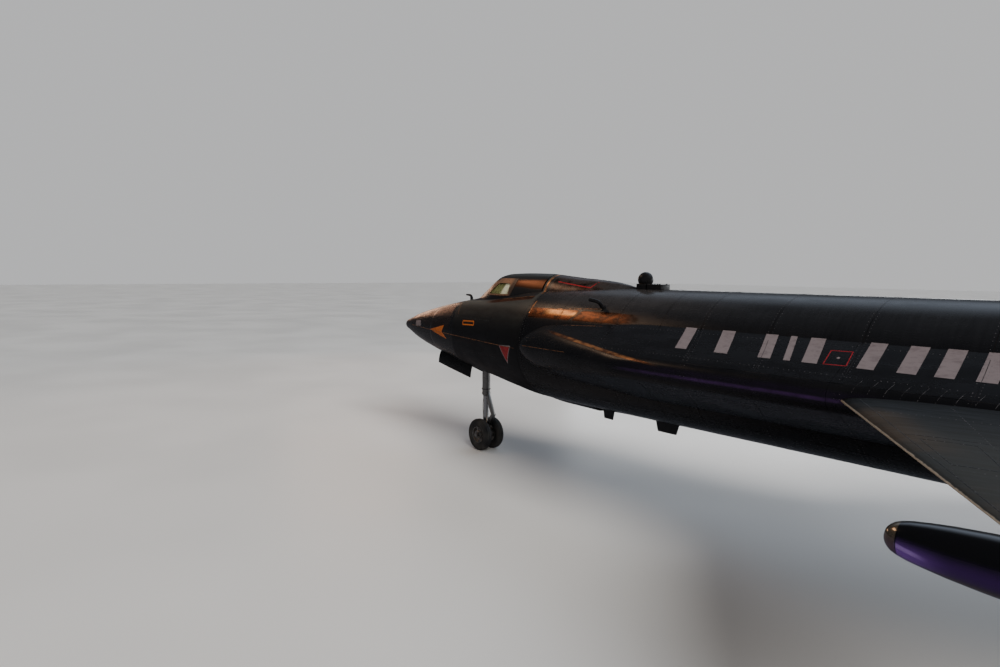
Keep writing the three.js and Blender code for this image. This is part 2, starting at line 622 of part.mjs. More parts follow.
function skids() {
  const ground = -CENTRE_HEIGHT;
  const { side, front, rear, ball } = SKID;
  const bar = { brace: 28, strut: 38, ankle: ball };
  for (const [name, hand] of [['left', -1], ['right', 1]]) {
    const ankle = [SKID.ankle, hand * side, ground + SKID.ankleHeight];
    const joint = (radius) => {
      const geometry = new THREE.SphereGeometry(radius, 16, 10);
      geometry.translate(...ankle);
      return solid(geometry);
    };
    const leg = (grow) => rod([12650, hand * 470, -470], ankle, bar.ankle + grow, 20, bar.strut + grow);
    const strut = joined([leg(0), joint(ball)]);
    add(`skid_strut_${name}`, strut.subtract(wholeBody), 'steel');
    const braceFoot = [ankle[0] - 60, hand * (side - 40), ankle[2] + 62];
    const brace = rod([11500, hand * 480, -480], braceFoot, bar.brace)
      .subtract(wholeBody)
      .subtract(leg(SEAT_GAP))
      .subtract(joint(ball + SEAT_GAP));
    add(`skid_brace_${name}`, brace, 'steel');
    // Skid seen from the side: station, height above the ground.
    const sole = [
      [front + 130, 0], [rear - 20, 0], [rear, 20], [rear, 26], [SKID.ankle + 110, 40], [SKID.ankle + 60, 95],
      [SKID.ankle - 60, 95], [SKID.ankle - 120, 40], [front + 120, 26], [front + 20, 80], [front, 66],
    ].map(([station, height]) => [station, ground + height]);
    const [low, high] = [hand * side - SKID.width / 2, hand * side + SKID.width / 2];
    const skid = crosswise(sole, low, high).subtract(joint(ball + 0.5)).subtract(leg(RUN_GAP));
    add(`skid_${name}`, skid, 'steel');
  }
}

function fittings() {
  const mast = { foot: 1790, tip: 1600, height: 552, radius: 9 };
  const skin = read(BODY, mast.foot, 1);
  const route = [
    [mast.foot, 0, skin - 30], [mast.foot - 5, 0, skin + 40], [mast.foot - 45, 0, mast.height - 4],
    [mast.tip, 0, mast.height],
  ];
  add('pitot_mast', bentBar(route, mast.radius).subtract(wholeBody), 'steel');
  // Vent pipe: station, distance from the body's centreline.
  const vent = [[4868, 690], [4862, 765], [4830, 800], [4725, 822]];
  for (const [name, hand] of [['left', -1], ['right', 1]]) {
    const shoulder = vent.map(([station, reach]) => {
      const height = reach * Math.SQRT1_2;
      return [station, hand * height, height];
    });
    add(`vent_pipe_${name}`, bentBar(shoulder, 17).subtract(wholeBody), 'skin');
  }
  // Aerials seen from the side: station, height.
  const stepped = [[4446, -690], [4470, -838], [4600, -842], [4620, -742], [4800, -735], [4800, -690]];
  const plain = [[5220, -690], [5260, -846], [5500, -846], [5550, -690]];
  const aerials = [['blade_aerial_front', stepped], ['blade_aerial_rear', plain]];
  for (const [name, outline] of aerials) {
    add(name, crosswise(outline, -9, 9).subtract(wholeBody), 'skin');
  }
  const ball = new THREE.SphereGeometry(LUG_BALL.radius, 20, 14);
  ball.translate(LUG_BALL.station, 0, LUG.top + LUG_BALL.rise);
  const seat = box([LUG.front, -LUG.half, 660], [LUG.step, LUG.half, LUG.top]);
  const pad = box([LUG.step - 20, -LUG.half, 660], [LUG.rear, LUG.half, LUG.padTop]);
  add('hoist_lug', joined([seat, pad, solid(ball)]).subtract(wholeBody), 'skin');
}

nose();
forwardBody();
canopy();
cabin();
fuselage();
tunnels();
wings();
tailplanes();
fins();
engine();
noseGear();
noseDoors();
skids();
fittings();

aircraft.position.set(-LENGTH / 2, 0, CENTRE_HEIGHT);

const stand = new THREE.Group();
stand.add(aircraft);
export default stand;
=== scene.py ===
import json
import math

import bmesh
import bpy
from mathutils import Matrix, Quaternion, Vector
from mathutils.bvhtree import BVHTree


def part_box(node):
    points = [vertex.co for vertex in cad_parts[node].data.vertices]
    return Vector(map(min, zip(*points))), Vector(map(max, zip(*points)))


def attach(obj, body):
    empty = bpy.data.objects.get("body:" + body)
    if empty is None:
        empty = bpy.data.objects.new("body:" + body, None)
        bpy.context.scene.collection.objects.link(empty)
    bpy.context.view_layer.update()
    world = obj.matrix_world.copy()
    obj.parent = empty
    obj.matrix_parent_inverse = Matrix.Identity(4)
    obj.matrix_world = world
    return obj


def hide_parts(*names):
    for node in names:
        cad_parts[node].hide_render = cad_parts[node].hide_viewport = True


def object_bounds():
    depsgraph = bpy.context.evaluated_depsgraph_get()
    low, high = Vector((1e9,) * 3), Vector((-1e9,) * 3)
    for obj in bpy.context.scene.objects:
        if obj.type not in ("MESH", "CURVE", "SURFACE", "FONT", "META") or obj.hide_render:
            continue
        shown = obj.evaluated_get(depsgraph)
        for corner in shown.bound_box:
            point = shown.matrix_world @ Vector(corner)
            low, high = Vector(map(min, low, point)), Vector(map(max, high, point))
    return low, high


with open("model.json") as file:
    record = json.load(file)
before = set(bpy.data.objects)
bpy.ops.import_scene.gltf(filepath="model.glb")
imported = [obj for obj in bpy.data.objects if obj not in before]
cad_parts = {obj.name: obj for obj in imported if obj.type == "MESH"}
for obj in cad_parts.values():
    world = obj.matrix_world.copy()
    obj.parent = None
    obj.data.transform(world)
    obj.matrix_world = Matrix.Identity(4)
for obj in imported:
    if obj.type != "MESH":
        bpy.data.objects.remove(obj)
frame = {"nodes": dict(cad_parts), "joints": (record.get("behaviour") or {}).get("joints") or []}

cad_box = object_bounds()

# Studio. The aircraft stands on a plain pale floor under soft lamps. The camera is close to the port side,
# a little above the body, and looks forward along it, so that the wing tip and the tail pass out of view.
EYE = Vector((2.1535, -5.978, 2.598))
HEADING = math.radians(38.86)
PITCH = math.radians(5.28)
ROLL = math.radians(0.45)
SENSOR = 36
FOCAL_LENGTH_PX = 678.9
PICTURE_WIDTH_PX = 1000

camera = bpy.data.objects.new("camera", bpy.data.cameras.new("camera"))
camera.data.sensor_width = SENSOR
camera.data.lens = SENSOR * FOCAL_LENGTH_PX / PICTURE_WIDTH_PX
camera.data.clip_end = 500
level = Vector((-math.cos(HEADING), math.sin(HEADING), 0)) * math.cos(PITCH)
aim = level - Vector((0, 0, math.sin(PITCH)))
camera.rotation_mode = "QUATERNION"
camera.rotation_quaternion = aim.to_track_quat("-Z", "Y") @ Quaternion((0, 0, 1), ROLL)
camera.location = EYE
bpy.context.scene.collection.objects.link(camera)
bpy.context.scene.camera = camera


class Tone:
    """A socket in a finish, so that shader maths reads as Python."""

    def __init__(self, finish, socket):
        self.finish = finish
        self.socket = socket

    def maths(self, operation, *values):
        return self.finish.node("Math", {"operation": operation}, values)

    def __add__(self, other):
        return self.maths("ADD", self, other)

    def __sub__(self, other):
        return self.maths("SUBTRACT", self, other)

    def __rsub__(self, other):
        return self.maths("SUBTRACT", other, self)

    def __mul__(self, other):
        return self.maths("MULTIPLY", self, other)

    def __abs__(self):
        return self.maths("ABSOLUTE", self)


class Finish:
    """A material that is built node by node."""

    def __init__(self, tree):
        self.tree = tree
        tree.nodes.clear()

    def node(self, kind, settings=None, values=(), output=0):
        """Adds a node: its settings first, then its sockets by place or by name. Gives one output."""
        node = self.tree.nodes.new("ShaderNode" + kind)
        for key, value in (settings or {}).items():
            setattr(node, key, value)
        sockets = [socket for socket in node.inputs if socket.enabled]
        for key, value in values.items() if isinstance(values, dict) else enumerate(values):
            socket = sockets[key] if isinstance(key, int) else next(s for s in sockets if s.name == key)
            if isinstance(value, Tone):
                self.tree.links.new(value.socket, socket)
            elif socket.type == "RGBA":
                socket.default_value = (*value, 1)
            else:
                socket.default_value = value
        outputs = [socket for socket in node.outputs if socket.enabled]
        return Tone(self, outputs[output]) if outputs else node

    def mix(self, share, first, second):
        return self.node("Mix", {"data_type": "RGBA"}, [share, first, second])

    def ease(self, value, low, high, start=0.0, end=1.0):
        """Goes smoothly from start to end as the value goes from low to high."""
        return self.node("MapRange", {"interpolation_type": "SMOOTHSTEP"}, [value, low, high, start, end])

    def fade(self, value, low, high, end=0.0):
        """Goes smoothly from one to its end as the value goes from low to high."""
        return self.ease(value, low, high, 1.0, end)

    def band(self, value, low, high, fall, foot, end=0.0):
        """Comes as the value goes from low to high, and goes again as it goes from fall to foot."""
        return self.ease(value, low, high) * self.fade(value, fall, foot, end)

    def stripe(self, value, half, edge):
        """One where the value is within half of zero, and nothing beyond the edge."""
        return self.fade(abs(value), half, edge)

    def place(self, stretch=(1, 1, 1)):
        """Places on the piece, in metres, squeezed along each axis."""
        here = self.node("TexCoord", output=3)
        return self.node("Mapping", None, {"Vector": here, "Scale": stretch})

    def noise(self, scale, detail=3.0, stretch=(1, 1, 1), roughness=0.5):
        values = {"Vector": self.place(stretch), "Scale": scale, "Detail": detail, "Roughness": roughness}
        return self.node("TexNoise", None, values)

    def axes(self):
        here = self.node("TexCoord", output=3)
        return [self.node("SeparateXYZ", None, [here], output=i) for i in range(3)]

    def bump(self, height, strength, distance, under=None):
        values = {"Strength": strength, "Distance": distance, "Height": height}
        if under is not None:
            values["Normal"] = under
        return self.node("Bump", None, values)

    def surface(self, **values):
        """Ends the finish in its shader, with sockets named as base_color or coat_weight."""
        named = {key.replace("_", " ").title().replace("Ior", "IOR"): value for key, value in values.items()}
        shader = self.node("BsdfPrincipled", None, named)
        self.node("OutputMaterial", None, {"Surface": shader})


def new_finish(name):
    material = bpy.data.materials.new(name)
    material.use_nodes = True
    return material, Finish(material.node_tree)


def area_lamp(name, place, target, size, power, colour):
    lamp = bpy.data.objects.new(name, bpy.data.lights.new(name, "AREA"))
    lamp.data.shape = "RECTANGLE"
    lamp.data.size, lamp.data.size_y = size
    lamp.data.energy = power
    lamp.data.color = colour
    lamp.location = place
    lamp.rotation_mode = "QUATERNION"
    lamp.rotation_quaternion = (Vector(target) - Vector(place)).to_track_quat("-Z", "Y")
    bpy.context.scene.collection.objects.link(lamp)


area_lamp("window_light", (-3, 13, 3.1), (-2, 0, 1.9), (26, 2.2), 620, (0.93, 0.97, 1))
area_lamp("gallery_light", (-11.6, -3.7, 10.1), (-3.2, -0.6, 2.1), (5, 1.7), 150, (1, 0.64, 0.4))
area_lamp("entrance_light", (-17, 3.6, 4.3), (-6.5, 0, 1.9), (4, 0.9), 50, (1, 0.66, 0.45))

sun = bpy.data.objects.new("soft_sun", bpy.data.lights.new("soft_sun", "SUN"))
sun.data.energy = 4.2
sun.data.angle = math.radians(30)
sun.data.color = (1, 0.985, 0.96)
sun.visible_glossy = False
sun.rotation_mode = "QUATERNION"
sun.rotation_quaternion = Vector((-0.8, 0.2, -0.6)).to_track_quat("-Z", "Y")
bpy.context.scene.collection.objects.link(sun)

world = bpy.data.worlds.new("studio")
world.use_nodes = True
bpy.context.scene.world = world
sky = Finish(world.node_tree)
seen = sky.node("LightPath", output=0)
aside, upwards = [sky.node("SeparateXYZ", None, [sky.node("TexCoord", output=0)], output=i) for i in (1, 2)]
skylight = sky.ease(aside, 0.3, 0.72) * sky.ease(upwards, 0.34, 0.62)
room = sky.mix(skylight, (0.07, 0.072, 0.08), (0.82, 0.95, 1.16))
air = sky.mix(seen, room, (0.58, 0.583, 0.59))
sky.node("OutputWorld", None, {"Surface": sky.node("Background", None, [air, 1.0])})

FLOOR_REACH = 120
floor_paint, pale = new_finish("floor_paint")
cloud = pale.noise(0.35, 2)
# Seen in reflections, the floor is painted much darker: a painted shade in the aircraft's reflections.
mirrored = pale.node("LightPath", output=3)
shade = pale.mix(cloud, (0.7, 0.69, 0.67), (0.76, 0.75, 0.73))
pale.surface(
    base_color=pale.mix(mirrored, shade, (0.14, 0.14, 0.155)),
    roughness=pale.ease(cloud, 0.3, 0.7, 0.32, 0.42),
)
floor_mesh = bmesh.new()
bmesh.ops.create_grid(floor_mesh, x_segments=1, y_segments=1, size=FLOOR_REACH)
floor = bpy.data.objects.new("floor", bpy.data.meshes.new("floor"))
floor_mesh.to_mesh(floor.data)
floor_mesh.free()
floor.data.materials.append(floor_paint)
bpy.context.scene.collection.objects.link(floor)


# Flow-sensing ball. A polished alloy sphere sits in a socket at the very tip, with a ring of pressure
# holes round its front. It is spun from a half circle, and its holes are cut into it.
NOSE_X = cad_box[0].x
CENTRE_Z = (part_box("centre_fuselage")[0].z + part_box("centre_fuselage")[1].z) / 2
BALL_RADIUS = 0.0825
BALL_PORT = 0.006
BALL_PORT_RING = 0.046


def at(station, side=0.0, height=0.0):
    """A point of the aircraft: aft of the nose tip, to starboard, and above the body's centreline."""
    return Vector((NOSE_X + station, side, CENTRE_Z + height))


def spun(profile, foot, direction, steps=48, closed=False):
    """Turns a profile of (place along a line, radius) about that line. A ring's profile is closed."""
    bm = bmesh.new()
    line = Vector(direction).normalized()
    outwards = Vector((0, 0, 1)) if abs(line.z) < 0.9 else Vector((1, 0, 0))
    outwards = (outwards - line * line.dot(outwards)).normalized()
    verts = [bm.verts.new(Vector(foot) + line * place + outwards * radius) for place, radius in profile]
    for pair in zip(verts, verts[1:]):
        bm.edges.new(pair)
    if closed:
        bm.edges.new((verts[-1], verts[0]))
    bmesh.ops.spin(
        bm, geom=bm.verts[:] + bm.edges[:], cent=foot, axis=line, angle=math.tau, steps=steps,
        use_merge=True)
    bmesh.ops.remove_doubles(bm, verts=bm.verts, dist=1e-6)
    bmesh.ops.recalc_face_normals(bm, faces=bm.faces)
    return bm


def revolve(profile, steps=128, side=0.0, height=0.0):
    """Turns a profile of (station, radius) about a line along the aircraft."""
    return spun(profile, at(0, side, height), (1, 0, 0), steps)


def rod(start, end, radius, tip_radius=None, segments=20):
    """A round bar from one point to another."""
    bm = bmesh.new()
    line = Vector(end) - Vector(start)
    turn = line.to_track_quat("Z", "Y").to_matrix().to_4x4()
    bmesh.ops.create_cone(
        bm, cap_ends=True, segments=segments, radius1=radius,
        radius2=radius if tip_radius is None else tip_radius, depth=line.length,
        matrix=Matrix.Translation((Vector(start) + Vector(end)) / 2) @ turn)
    return bm


def carve(bm, operation, *tools):
    """Cuts a shape by others (DIFFERENCE), trims it to them (INTERSECT) or joins them (UNION)."""
    made = []
    for shape in (bm, *tools):
        bmesh.ops.recalc_face_normals(shape, faces=shape.faces)
        made.append(bpy.data.objects.new("blank", bpy.data.meshes.new("blank")))
        shape.to_mesh(made[-1].data)
        shape.free()
        bpy.context.scene.collection.objects.link(made[-1])
    for tool in made[1:]:
        cut = made[0].modifiers.new("cut", "BOOLEAN")
        cut.operation = operation
        cut.object = tool
        cut.solver = "EXACT"
    result = bmesh.new()
    result.from_object(made[0], bpy.context.evaluated_depsgraph_get())
    for blank in made:
        mesh = blank.data
        bpy.data.objects.remove(blank)
        bpy.data.meshes.remove(mesh)
    bmesh.ops.remove_doubles(result, verts=result.verts, dist=1e-6)
    bmesh.ops.dissolve_degenerate(result, edges=result.edges, dist=1e-6)
    return result


def together(*shapes):
    """Puts several shapes in one mesh, each still closed by itself."""
    whole = bmesh.new()
    for shape in shapes:
        bmesh.ops.recalc_face_normals(shape, faces=shape.faces)
        mesh = bpy.data.meshes.new("blank")
        shape.to_mesh(mesh)
        shape.free()
        whole.from_mesh(mesh)
        bpy.data.meshes.remove(mesh)
    return whole


def fit(name, bm, finish, body="airframe", replaces=(), crease=35):
    """Makes a piece of a shape: it is shaded smooth below the crease angle and rides on its body."""
    bmesh.ops.recalc_face_normals(bm, faces=bm.faces)
    mesh = bpy.data.meshes.new(name)
    bm.to_mesh(mesh)
    bm.free()
    mesh.materials.append(finish)
    mesh.shade_smooth()
    mesh.set_sharp_from_angle(angle=math.radians(crease))
    piece = bpy.data.objects.new(name, mesh)
    bpy.context.scene.collection.objects.link(piece)
    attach(piece, body)
    if replaces:
        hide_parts(*replaces)
    return piece


bare_steel, steel = new_finish("bare_steel")
brushed = steel.noise(60, 4, (0.15, 1, 1))
smear_and_sheen = steel.noise(4, 3)
steel.surface(
    base_color=steel.mix(smear_and_sheen, (0.34, 0.33, 0.31), (0.5, 0.48, 0.44)),
    metallic=1.0,
    roughness=steel.ease(brushed * 0.5 + smear_and_sheen * 0.5, 0.3, 0.7, 0.22, 0.42),
    normal=steel.bump(brushed, 0.12, 0.001),
)

half_circle = [math.pi * i / 32 for i in range(33)]
ball = revolve([(BALL_RADIUS * (1 - math.cos(a)), BALL_RADIUS * math.sin(a)) for a in half_circle], 64)
ports = [(0, 0), (BALL_PORT_RING, 0), (-BALL_PORT_RING, 0), (0, BALL_PORT_RING), (0, -BALL_PORT_RING)]
ball = carve(ball, "DIFFERENCE", *[
    rod(at(-0.01, side, height), at(0.03, side, height), BALL_PORT, segments=12) for side, height in ports])
fit("flow_ball", ball, bare_steel, replaces=["nose_ball"])


# Nose cone and body. A nickel alloy tube of constant radius, with a long pointed nose, is welded and
# screwed together from short lengths. Heat has turned its black skin brown and bronze, most of all on the
# nose. Each length is spun from its profile, with a small bevel where it meets the next one.
# Station, radius.
BODY = [
    (0.095, 0.088), (0.2, 0.12), (0.36, 0.172), (0.53, 0.22), (0.88, 0.3), (1.22, 0.368), (1.58, 0.432),
    (2.2, 0.525), (2.7, 0.59), (3.13, 0.648), (3.63, 0.7), (4.3, 0.711), (15.12, 0.711),
]
JOINT_BEVEL = 0.0025
SOCKET_GAP = 0.001
BAY = {"front": 1.232, "rear": 2.24, "half": 0.18, "roof": 0.1}
CABIN = {"front": 2.3, "rear": 3.59, "floor": -0.42, "skin": 0.04, "canopy_skin": 0.035}
# The sill that the canopy closes on: station, height.
SILL = [(2.03, 0.56), (2.075, 0.478), (2.6, 0.5), (3.628, 0.6)]


def along(table, here, column=1):
    """Reads a table between its rows, on a smooth curve that never overshoots them."""
    xs = [row[0] for row in table]
    ys = [row[column] for row in table]
    last = len(xs) - 2
    i = min(max(sum(x <= here for x in xs) - 1, 0), last)
    slopes = [(ys[k + 1] - ys[k]) / (xs[k + 1] - xs[k]) for k in range(last + 1)]

    def tangent(k):
        if k in (0, last + 1):
            return slopes[min(k, last)]
        before, after = slopes[k - 1], slopes[k]
        return 0 if before * after <= 0 else 2 * before * after / (before + after)

    width = xs[i + 1] - xs[i]
    t = min(max((here - xs[i]) / width, 0), 1)
    bend = (tangent(i) * (1 - t) - tangent(i + 1) * t) * width - (ys[i + 1] - ys[i]) * (1 - 2 * t)
    return ys[i] + (ys[i + 1] - ys[i]) * t + bend * t * (1 - t)


def spaced(start, end, step):
    """Even places from start to end, about a step apart."""
    count = max(1, round((end - start) / step))
    return [start + (end - start) * i / count for i in range(count + 1)]


def body_line(start, end, grow=0.0, step=0.06):
    return [(station, along(BODY, station) + grow) for station in spaced(start, end, step)]


def body_length(start, end):
    """A length of body, bevelled where it meets its neighbours, as a profile from centre to centre."""
    line = body_line(start + JOINT_BEVEL, end - JOINT_BEVEL)
    first = (start, line[0][1] - JOINT_BEVEL)
    last = (end, line[-1][1] - JOINT_BEVEL)
    return [first, *line, last]


def solid(line):
    """Turns a line of (station, radius) into a round solid with flat ends."""
    return revolve([(line[0][0], 0), *line, (line[-1][0], 0)])


def block(low, high):
    """A box between two corners."""
    bm = bmesh.new()
    size = Vector(high) - Vector(low)
    middle = (Vector(low) + Vector(high)) / 2
    bmesh.ops.create_cube(bm, size=1, matrix=Matrix.Translation(middle) @ Matrix.Diagonal((*size, 1)))
    return bm


def plate(outline, thickness):
    """A flat outline of points, given a thickness along its own face."""
    bm = bmesh.new()
    face = bm.faces.new([bm.verts.new(point) for point in outline])
    grown = bmesh.ops.extrude_face_region(bm, geom=[face])
    moved = [part for part in grown["geom"] if isinstance(part, bmesh.types.BMVert)]
    bmesh.ops.translate(bm, verts=moved, vec=Vector(thickness))
    bmesh.ops.recalc_face_normals(bm, faces=bm.faces)
    return bm


def crosswise(outline, start, end):
    """An outline of (station, height) carried across from one side place to another."""
    return plate([at(station, start, height) for station, height in outline], (0, end - start, 0))


def cabin_space(grow=0.0):
    """The room inside the cabin: round within the skin, flat on its floor."""
    return carve(
        solid(body_line(CABIN["front"] - grow, CABIN["rear"] + grow, grow - CABIN["skin"])), "INTERSECT",
        block(at(2.2, -0.8, CABIN["floor"] - grow), at(3.7, 0.8, 0.9)))


def heat_black(name):
    """The aircraft's dark skin: copper where heat has stripped it, matt by the cabin, violet on one edge."""
    material, skin = new_finish(name)
    x, y, z = skin.axes()
    station, side, height = x - NOSE_X, abs(y), z - CENTRE_Z
    broad = skin.noise(1.1, 3, (0.3, 1, 1))
    patchy = skin.noise(6, 5, (0.35, 1, 1), 0.65)
    flakes = skin.noise(13, 6, (0.5, 1, 1), 0.72)
    fine = skin.noise(55, 3, (0.35, 1, 1))
    brushed = skin.noise(9, 4, (4, 0.35, 0.35), 0.6)

    # Where heat has worked: the nose, the shoulder's band, the tunnel's front, the sill, the belt. Also
    # painted highlights: the nose is weighted to its upper side, and a thin stripe runs along the tunnel's
    # crest.
    lean = station - side * 0.45
    nose = skin.fade(lean, 1.64, 1.72) * skin.ease(height, -0.08, 0.1)
    # The nose's copper is weighted to its upper side: a painted highlight.
    nose = nose * skin.ease(height - station * 0.2, -0.1, 0.07, 0.45)
    shoulder = skin.band(station, 3.72, 3.77, 5.0, 5.8) * skin.band(height, 0.31, 0.38, 0.45, 0.475, 0.35)
    shoulder = shoulder * skin.ease(abs(station - height * 0.9 - 4.16), 0.015, 0.04, 0.6)
    bulge = skin.band(station, 3.8, 4.3, 4.6, 5.2) * skin.ease(side, 0.6, 0.7)
    # A thin bright stripe along the tunnel's crest: a painted highlight.
    crest_highlight = skin.stripe(height + station * 0.091 - 0.614, 0.004, 0.02) * skin.ease(side, 0.62, 0.68)
    crest_highlight = crest_highlight * skin.band(station, 4.1, 4.8, 5.5, 6.4)
    roof = skin.ease(height, 0.58, 0.66) * skin.band(station, 3.64, 3.7, 4.4, 5.0)
    ledge = skin.stripe(height - station * 0.0973 - 0.224, 0.008, 0.04)
    ledge = ledge * skin.band(station, 2.2, 2.9, 3.6, 3.66)
    belt = skin.stripe(height + 0.07, 0.01, 0.11) * skin.fade(station, 2.6, 3.6)
    # Heat tint, together with the painted highlights on the nose's upper side and along the crest.
    heat_tint_and_highlight = nose * 1.25 + ledge * 0.9 + belt * 0.4 + shoulder + bulge * 0.3 + roof * 0.2 + crest_highlight * 1.3
    warm = skin.ease(heat_tint_and_highlight * 0.6 + broad * 0.2 + flakes * 0.55, 0.58, 1.0)
    dull = skin.ease(lean, 1.72, 1.8) * skin.fade(station, 3.66, 3.72)

    # The black itself, darkest on the flank and lighter on the crown, below and on the tunnel's lower flat
    # as a painted sheen, with a painted violet reflection on the tunnel's edge, and grey patches and a pale
    # smear by the cabin as a painted sheen.
    worn = patchy * 0.5 + brushed * 0.5
    flank = skin.mix(worn, (0.002, 0.002, 0.0025), (0.009, 0.009, 0.0105))
    # Lighter black on the crown and below than on the flank, and lighter still on top aft of the spine: a
    # painted sheen.
    crown = skin.mix(worn, (0.006, 0.0064, 0.0075), (0.025, 0.026, 0.0295))
    top = skin.mix(worn, (0.013, 0.0125, 0.013), (0.047, 0.043, 0.043))
    under = skin.mix(worn, (0.012, 0.011, 0.0135), (0.03, 0.0275, 0.034))
    crown = skin.mix(skin.ease(height, 0.45, 0.56) * skin.fade(station, 5.2, 6.8), crown, top)
    cold = skin.mix(skin.ease(abs(height), 0.3, 0.62), flank, crown)
    cold = skin.mix(skin.ease(station, 3.6, 4.4, 0.6, 0.0), cold, (0.004, 0.004, 0.0045))
    # A lighter grey on the lower flat of the tunnel, aft: a painted reflection of the floor.
    lower = skin.band(height, -0.5, -0.38, -0.14, -0.06) * skin.ease(station, 5.3, 6.6)
    cold = skin.mix(lower * skin.ease(side, 0.7, 0.85), cold, under)
    # A violet band along the tunnel's outer edge: a painted reflection.
    rim = skin.fade(abs(height + 0.01), 0.005, 0.022, 0.12) * skin.band(height, -0.08, -0.03, 0.03, 0.08)
    rim = rim * skin.ease(side, 0.98, 1.06) * skin.band(station, 5.4, 6.2, 7.7, 8.4)
    cold = skin.mix(rim * skin.ease(flakes, 0.3, 0.7, 0.4), cold, (0.045, 0.017, 0.075))
    # Grey mottled patches that grow towards the top of the forward body: a painted sheen.
    grey = dull * skin.ease(height, 0.05, 0.4) * skin.ease(fine * 0.35 + flakes * 0.65, 0.36, 0.66, 0.25)
    cold = skin.mix(grey, cold, (0.018, 0.019, 0.0175))
    # A pale smear high on the forward body by the cabin: a painted sheen.
    smear_and_sheen = dull * skin.ease(height, 0.38, 0.48) * skin.fade(station, 2.5, 2.9, 0.45)
    cold = skin.mix(smear_and_sheen * skin.ease(patchy, 0.25, 0.6, 0.4), cold, (0.075, 0.073, 0.063))

    # The copper, burnt darker aft, with a gold streak in the band as a painted highlight, and brighter metal
    # at the crest and on the nose's upper side as painted highlights.
    # A gold streak in the shoulder band: a painted highlight.
    gold = skin.stripe(height - 0.43, 0.012, 0.045) * skin.band(station, 3.95, 4.15, 4.5, 4.56)
    gold = gold * skin.ease(patchy, 0.3, 0.5)
    copper = skin.mix(skin.ease(flakes, 0.4, 0.62), (0.17, 0.062, 0.027), (0.045, 0.023, 0.015))
    burnt = skin.mix(skin.ease(flakes, 0.36, 0.6), (0.1, 0.038, 0.018), (0.022, 0.012, 0.009))
    # The colour of the stripe along the crest: a painted highlight.
    glint = skin.mix(skin.ease(flakes, 0.38, 0.6), (0.36, 0.16, 0.065), (0.09, 0.038, 0.02))
    copper = skin.mix(skin.ease(station, 4.4, 4.62), copper, burnt)
    copper = skin.mix(crest_highlight, skin.mix(gold, copper, (0.36, 0.21, 0.1)), glint)
    # Brighter copper on the nose's upper side: a painted highlight.
    nose_top_highlight = skin.ease(height - side * 0.62, -0.03, 0.07) * skin.fade(patchy, 0.25, 0.7, 0.55)
    nose_copper_and_highlight = skin.mix(nose_top_highlight, (0.045, 0.024, 0.017), (0.42, 0.21, 0.13))
    copper = skin.mix(skin.fade(lean, 1.66, 1.72), copper, nose_copper_and_highlight)
    skin.surface(
        base_color=skin.mix(warm, cold, copper),
        metallic=skin.ease(warm, 0.0, 0.6, 0.05, 1.0) * (1 - crest_highlight * 0.5) * (1 - nose * 0.6),
        roughness=skin.ease(patchy + fine * 0.25, 0.4, 0.9, 0.2, 0.34) + dull * 0.2,
        specular_ior_level=0.27,
        normal=skin.bump(broad, 0.12, 0.02, skin.bump(fine, 0.03, 0.001)),
    )
    return material


black_skin = heat_black("heat_black_skin")

socket_arc = [math.radians(a) for a in range(0, 81, 8)]
socket_radius = BALL_RADIUS + SOCKET_GAP
socket_line = [
    (BALL_RADIUS + socket_radius * math.cos(a), socket_radius * math.sin(a)) for a in socket_arc]
cone = revolve([*socket_line, (0.0955, 0.0855), *body_line(0.098, 1.2175), (1.2197, 0.365), (1.2197, 0)])
fit("nose_cone_skin", cone, black_skin, replaces=["nose_cone"])

forward = solid(body_length(1.22, 3.6547))
sill_space = crosswise([*SILL, (3.628, 1.0), (2.03, 1.0)], -0.8, 0.8)
gear_bay = block(at(BAY["front"], -BAY["half"], -0.8), at(BAY["rear"], BAY["half"], BAY["roof"]))
forward = carve(forward, "DIFFERENCE", gear_bay, cabin_space(), sill_space)
fit("forward_body_skin", forward, black_skin, replaces=["forward_fuselage"])

fit("centre_body_skin", solid(body_length(3.655, 9.4997)), black_skin, replaces=["centre_fuselage"])

aft_line = [(9.5, 0), *body_length(9.5, 15.12), (15.12, 0.6), (13.1, 0.6), (13.1, 0)]
fit("aft_body_skin", revolve(aft_line), black_skin, replaces=["aft_fuselage"])


# Cabin. The pilot sits behind a panel of round dials under a matt black coaming, between two side consoles.
# The sheet metal is painted grey, and its switches, knobs and levers are turned or bent from rod.
PANEL = {"front": 2.64, "rear": 2.7, "foot": -0.06, "top": 0.44, "coaming": 2.48, "coaming_top": 0.48}
CONSOLE = {"front": 2.76, "rear": 3.34, "side": 0.29, "foot": -0.2, "top": 0.02}
# Height, radius, count, pitch of each row of dials.
DIAL_ROWS = [
    (0.375, 0.034, 7, 0.098), (0.272, 0.046, 7, 0.118), (0.162, 0.04, 7, 0.112), (0.062, 0.026, 9, 0.09)]
DIAL_TICKS = 12
ENDS = {"left": -1, "right": 1}
UP, DOWN = (0, 0, 1), (0, 0, -1)


def mottled(name, grain, first, second, rough, spread=None, pits=None, **sockets):
    """A finish of two tones that a noise mixes. The same noise wears it rough, and pits are a finer bump."""
    material, finish = new_finish(name)
    spots = finish.noise(*grain)
    share = finish.ease(spots, *spread) if spread else spots
    if pits:
        scale, detail, strength, distance = pits
        sockets["normal"] = finish.bump(finish.noise(scale, detail), strength, distance)
    finish.surface(
        base_color=finish.mix(share, first, second),
        roughness=finish.ease(spots, 0.3, 0.7, *rough),
        **sockets)
    return material


def rounded(bm, width, segments=3):
    bmesh.ops.bevel(
        bm, geom=bm.edges[:], offset=width, affect="EDGES", segments=segments, profile=0.5, material=-1)
    return bm


def crossbar(centre, half, radius, segments):
    """A round bar across the aircraft, half its length to each side of a point."""
    reach = Vector((0, half, 0))
    return rod(centre - reach, centre + reach, radius, segments=segments)


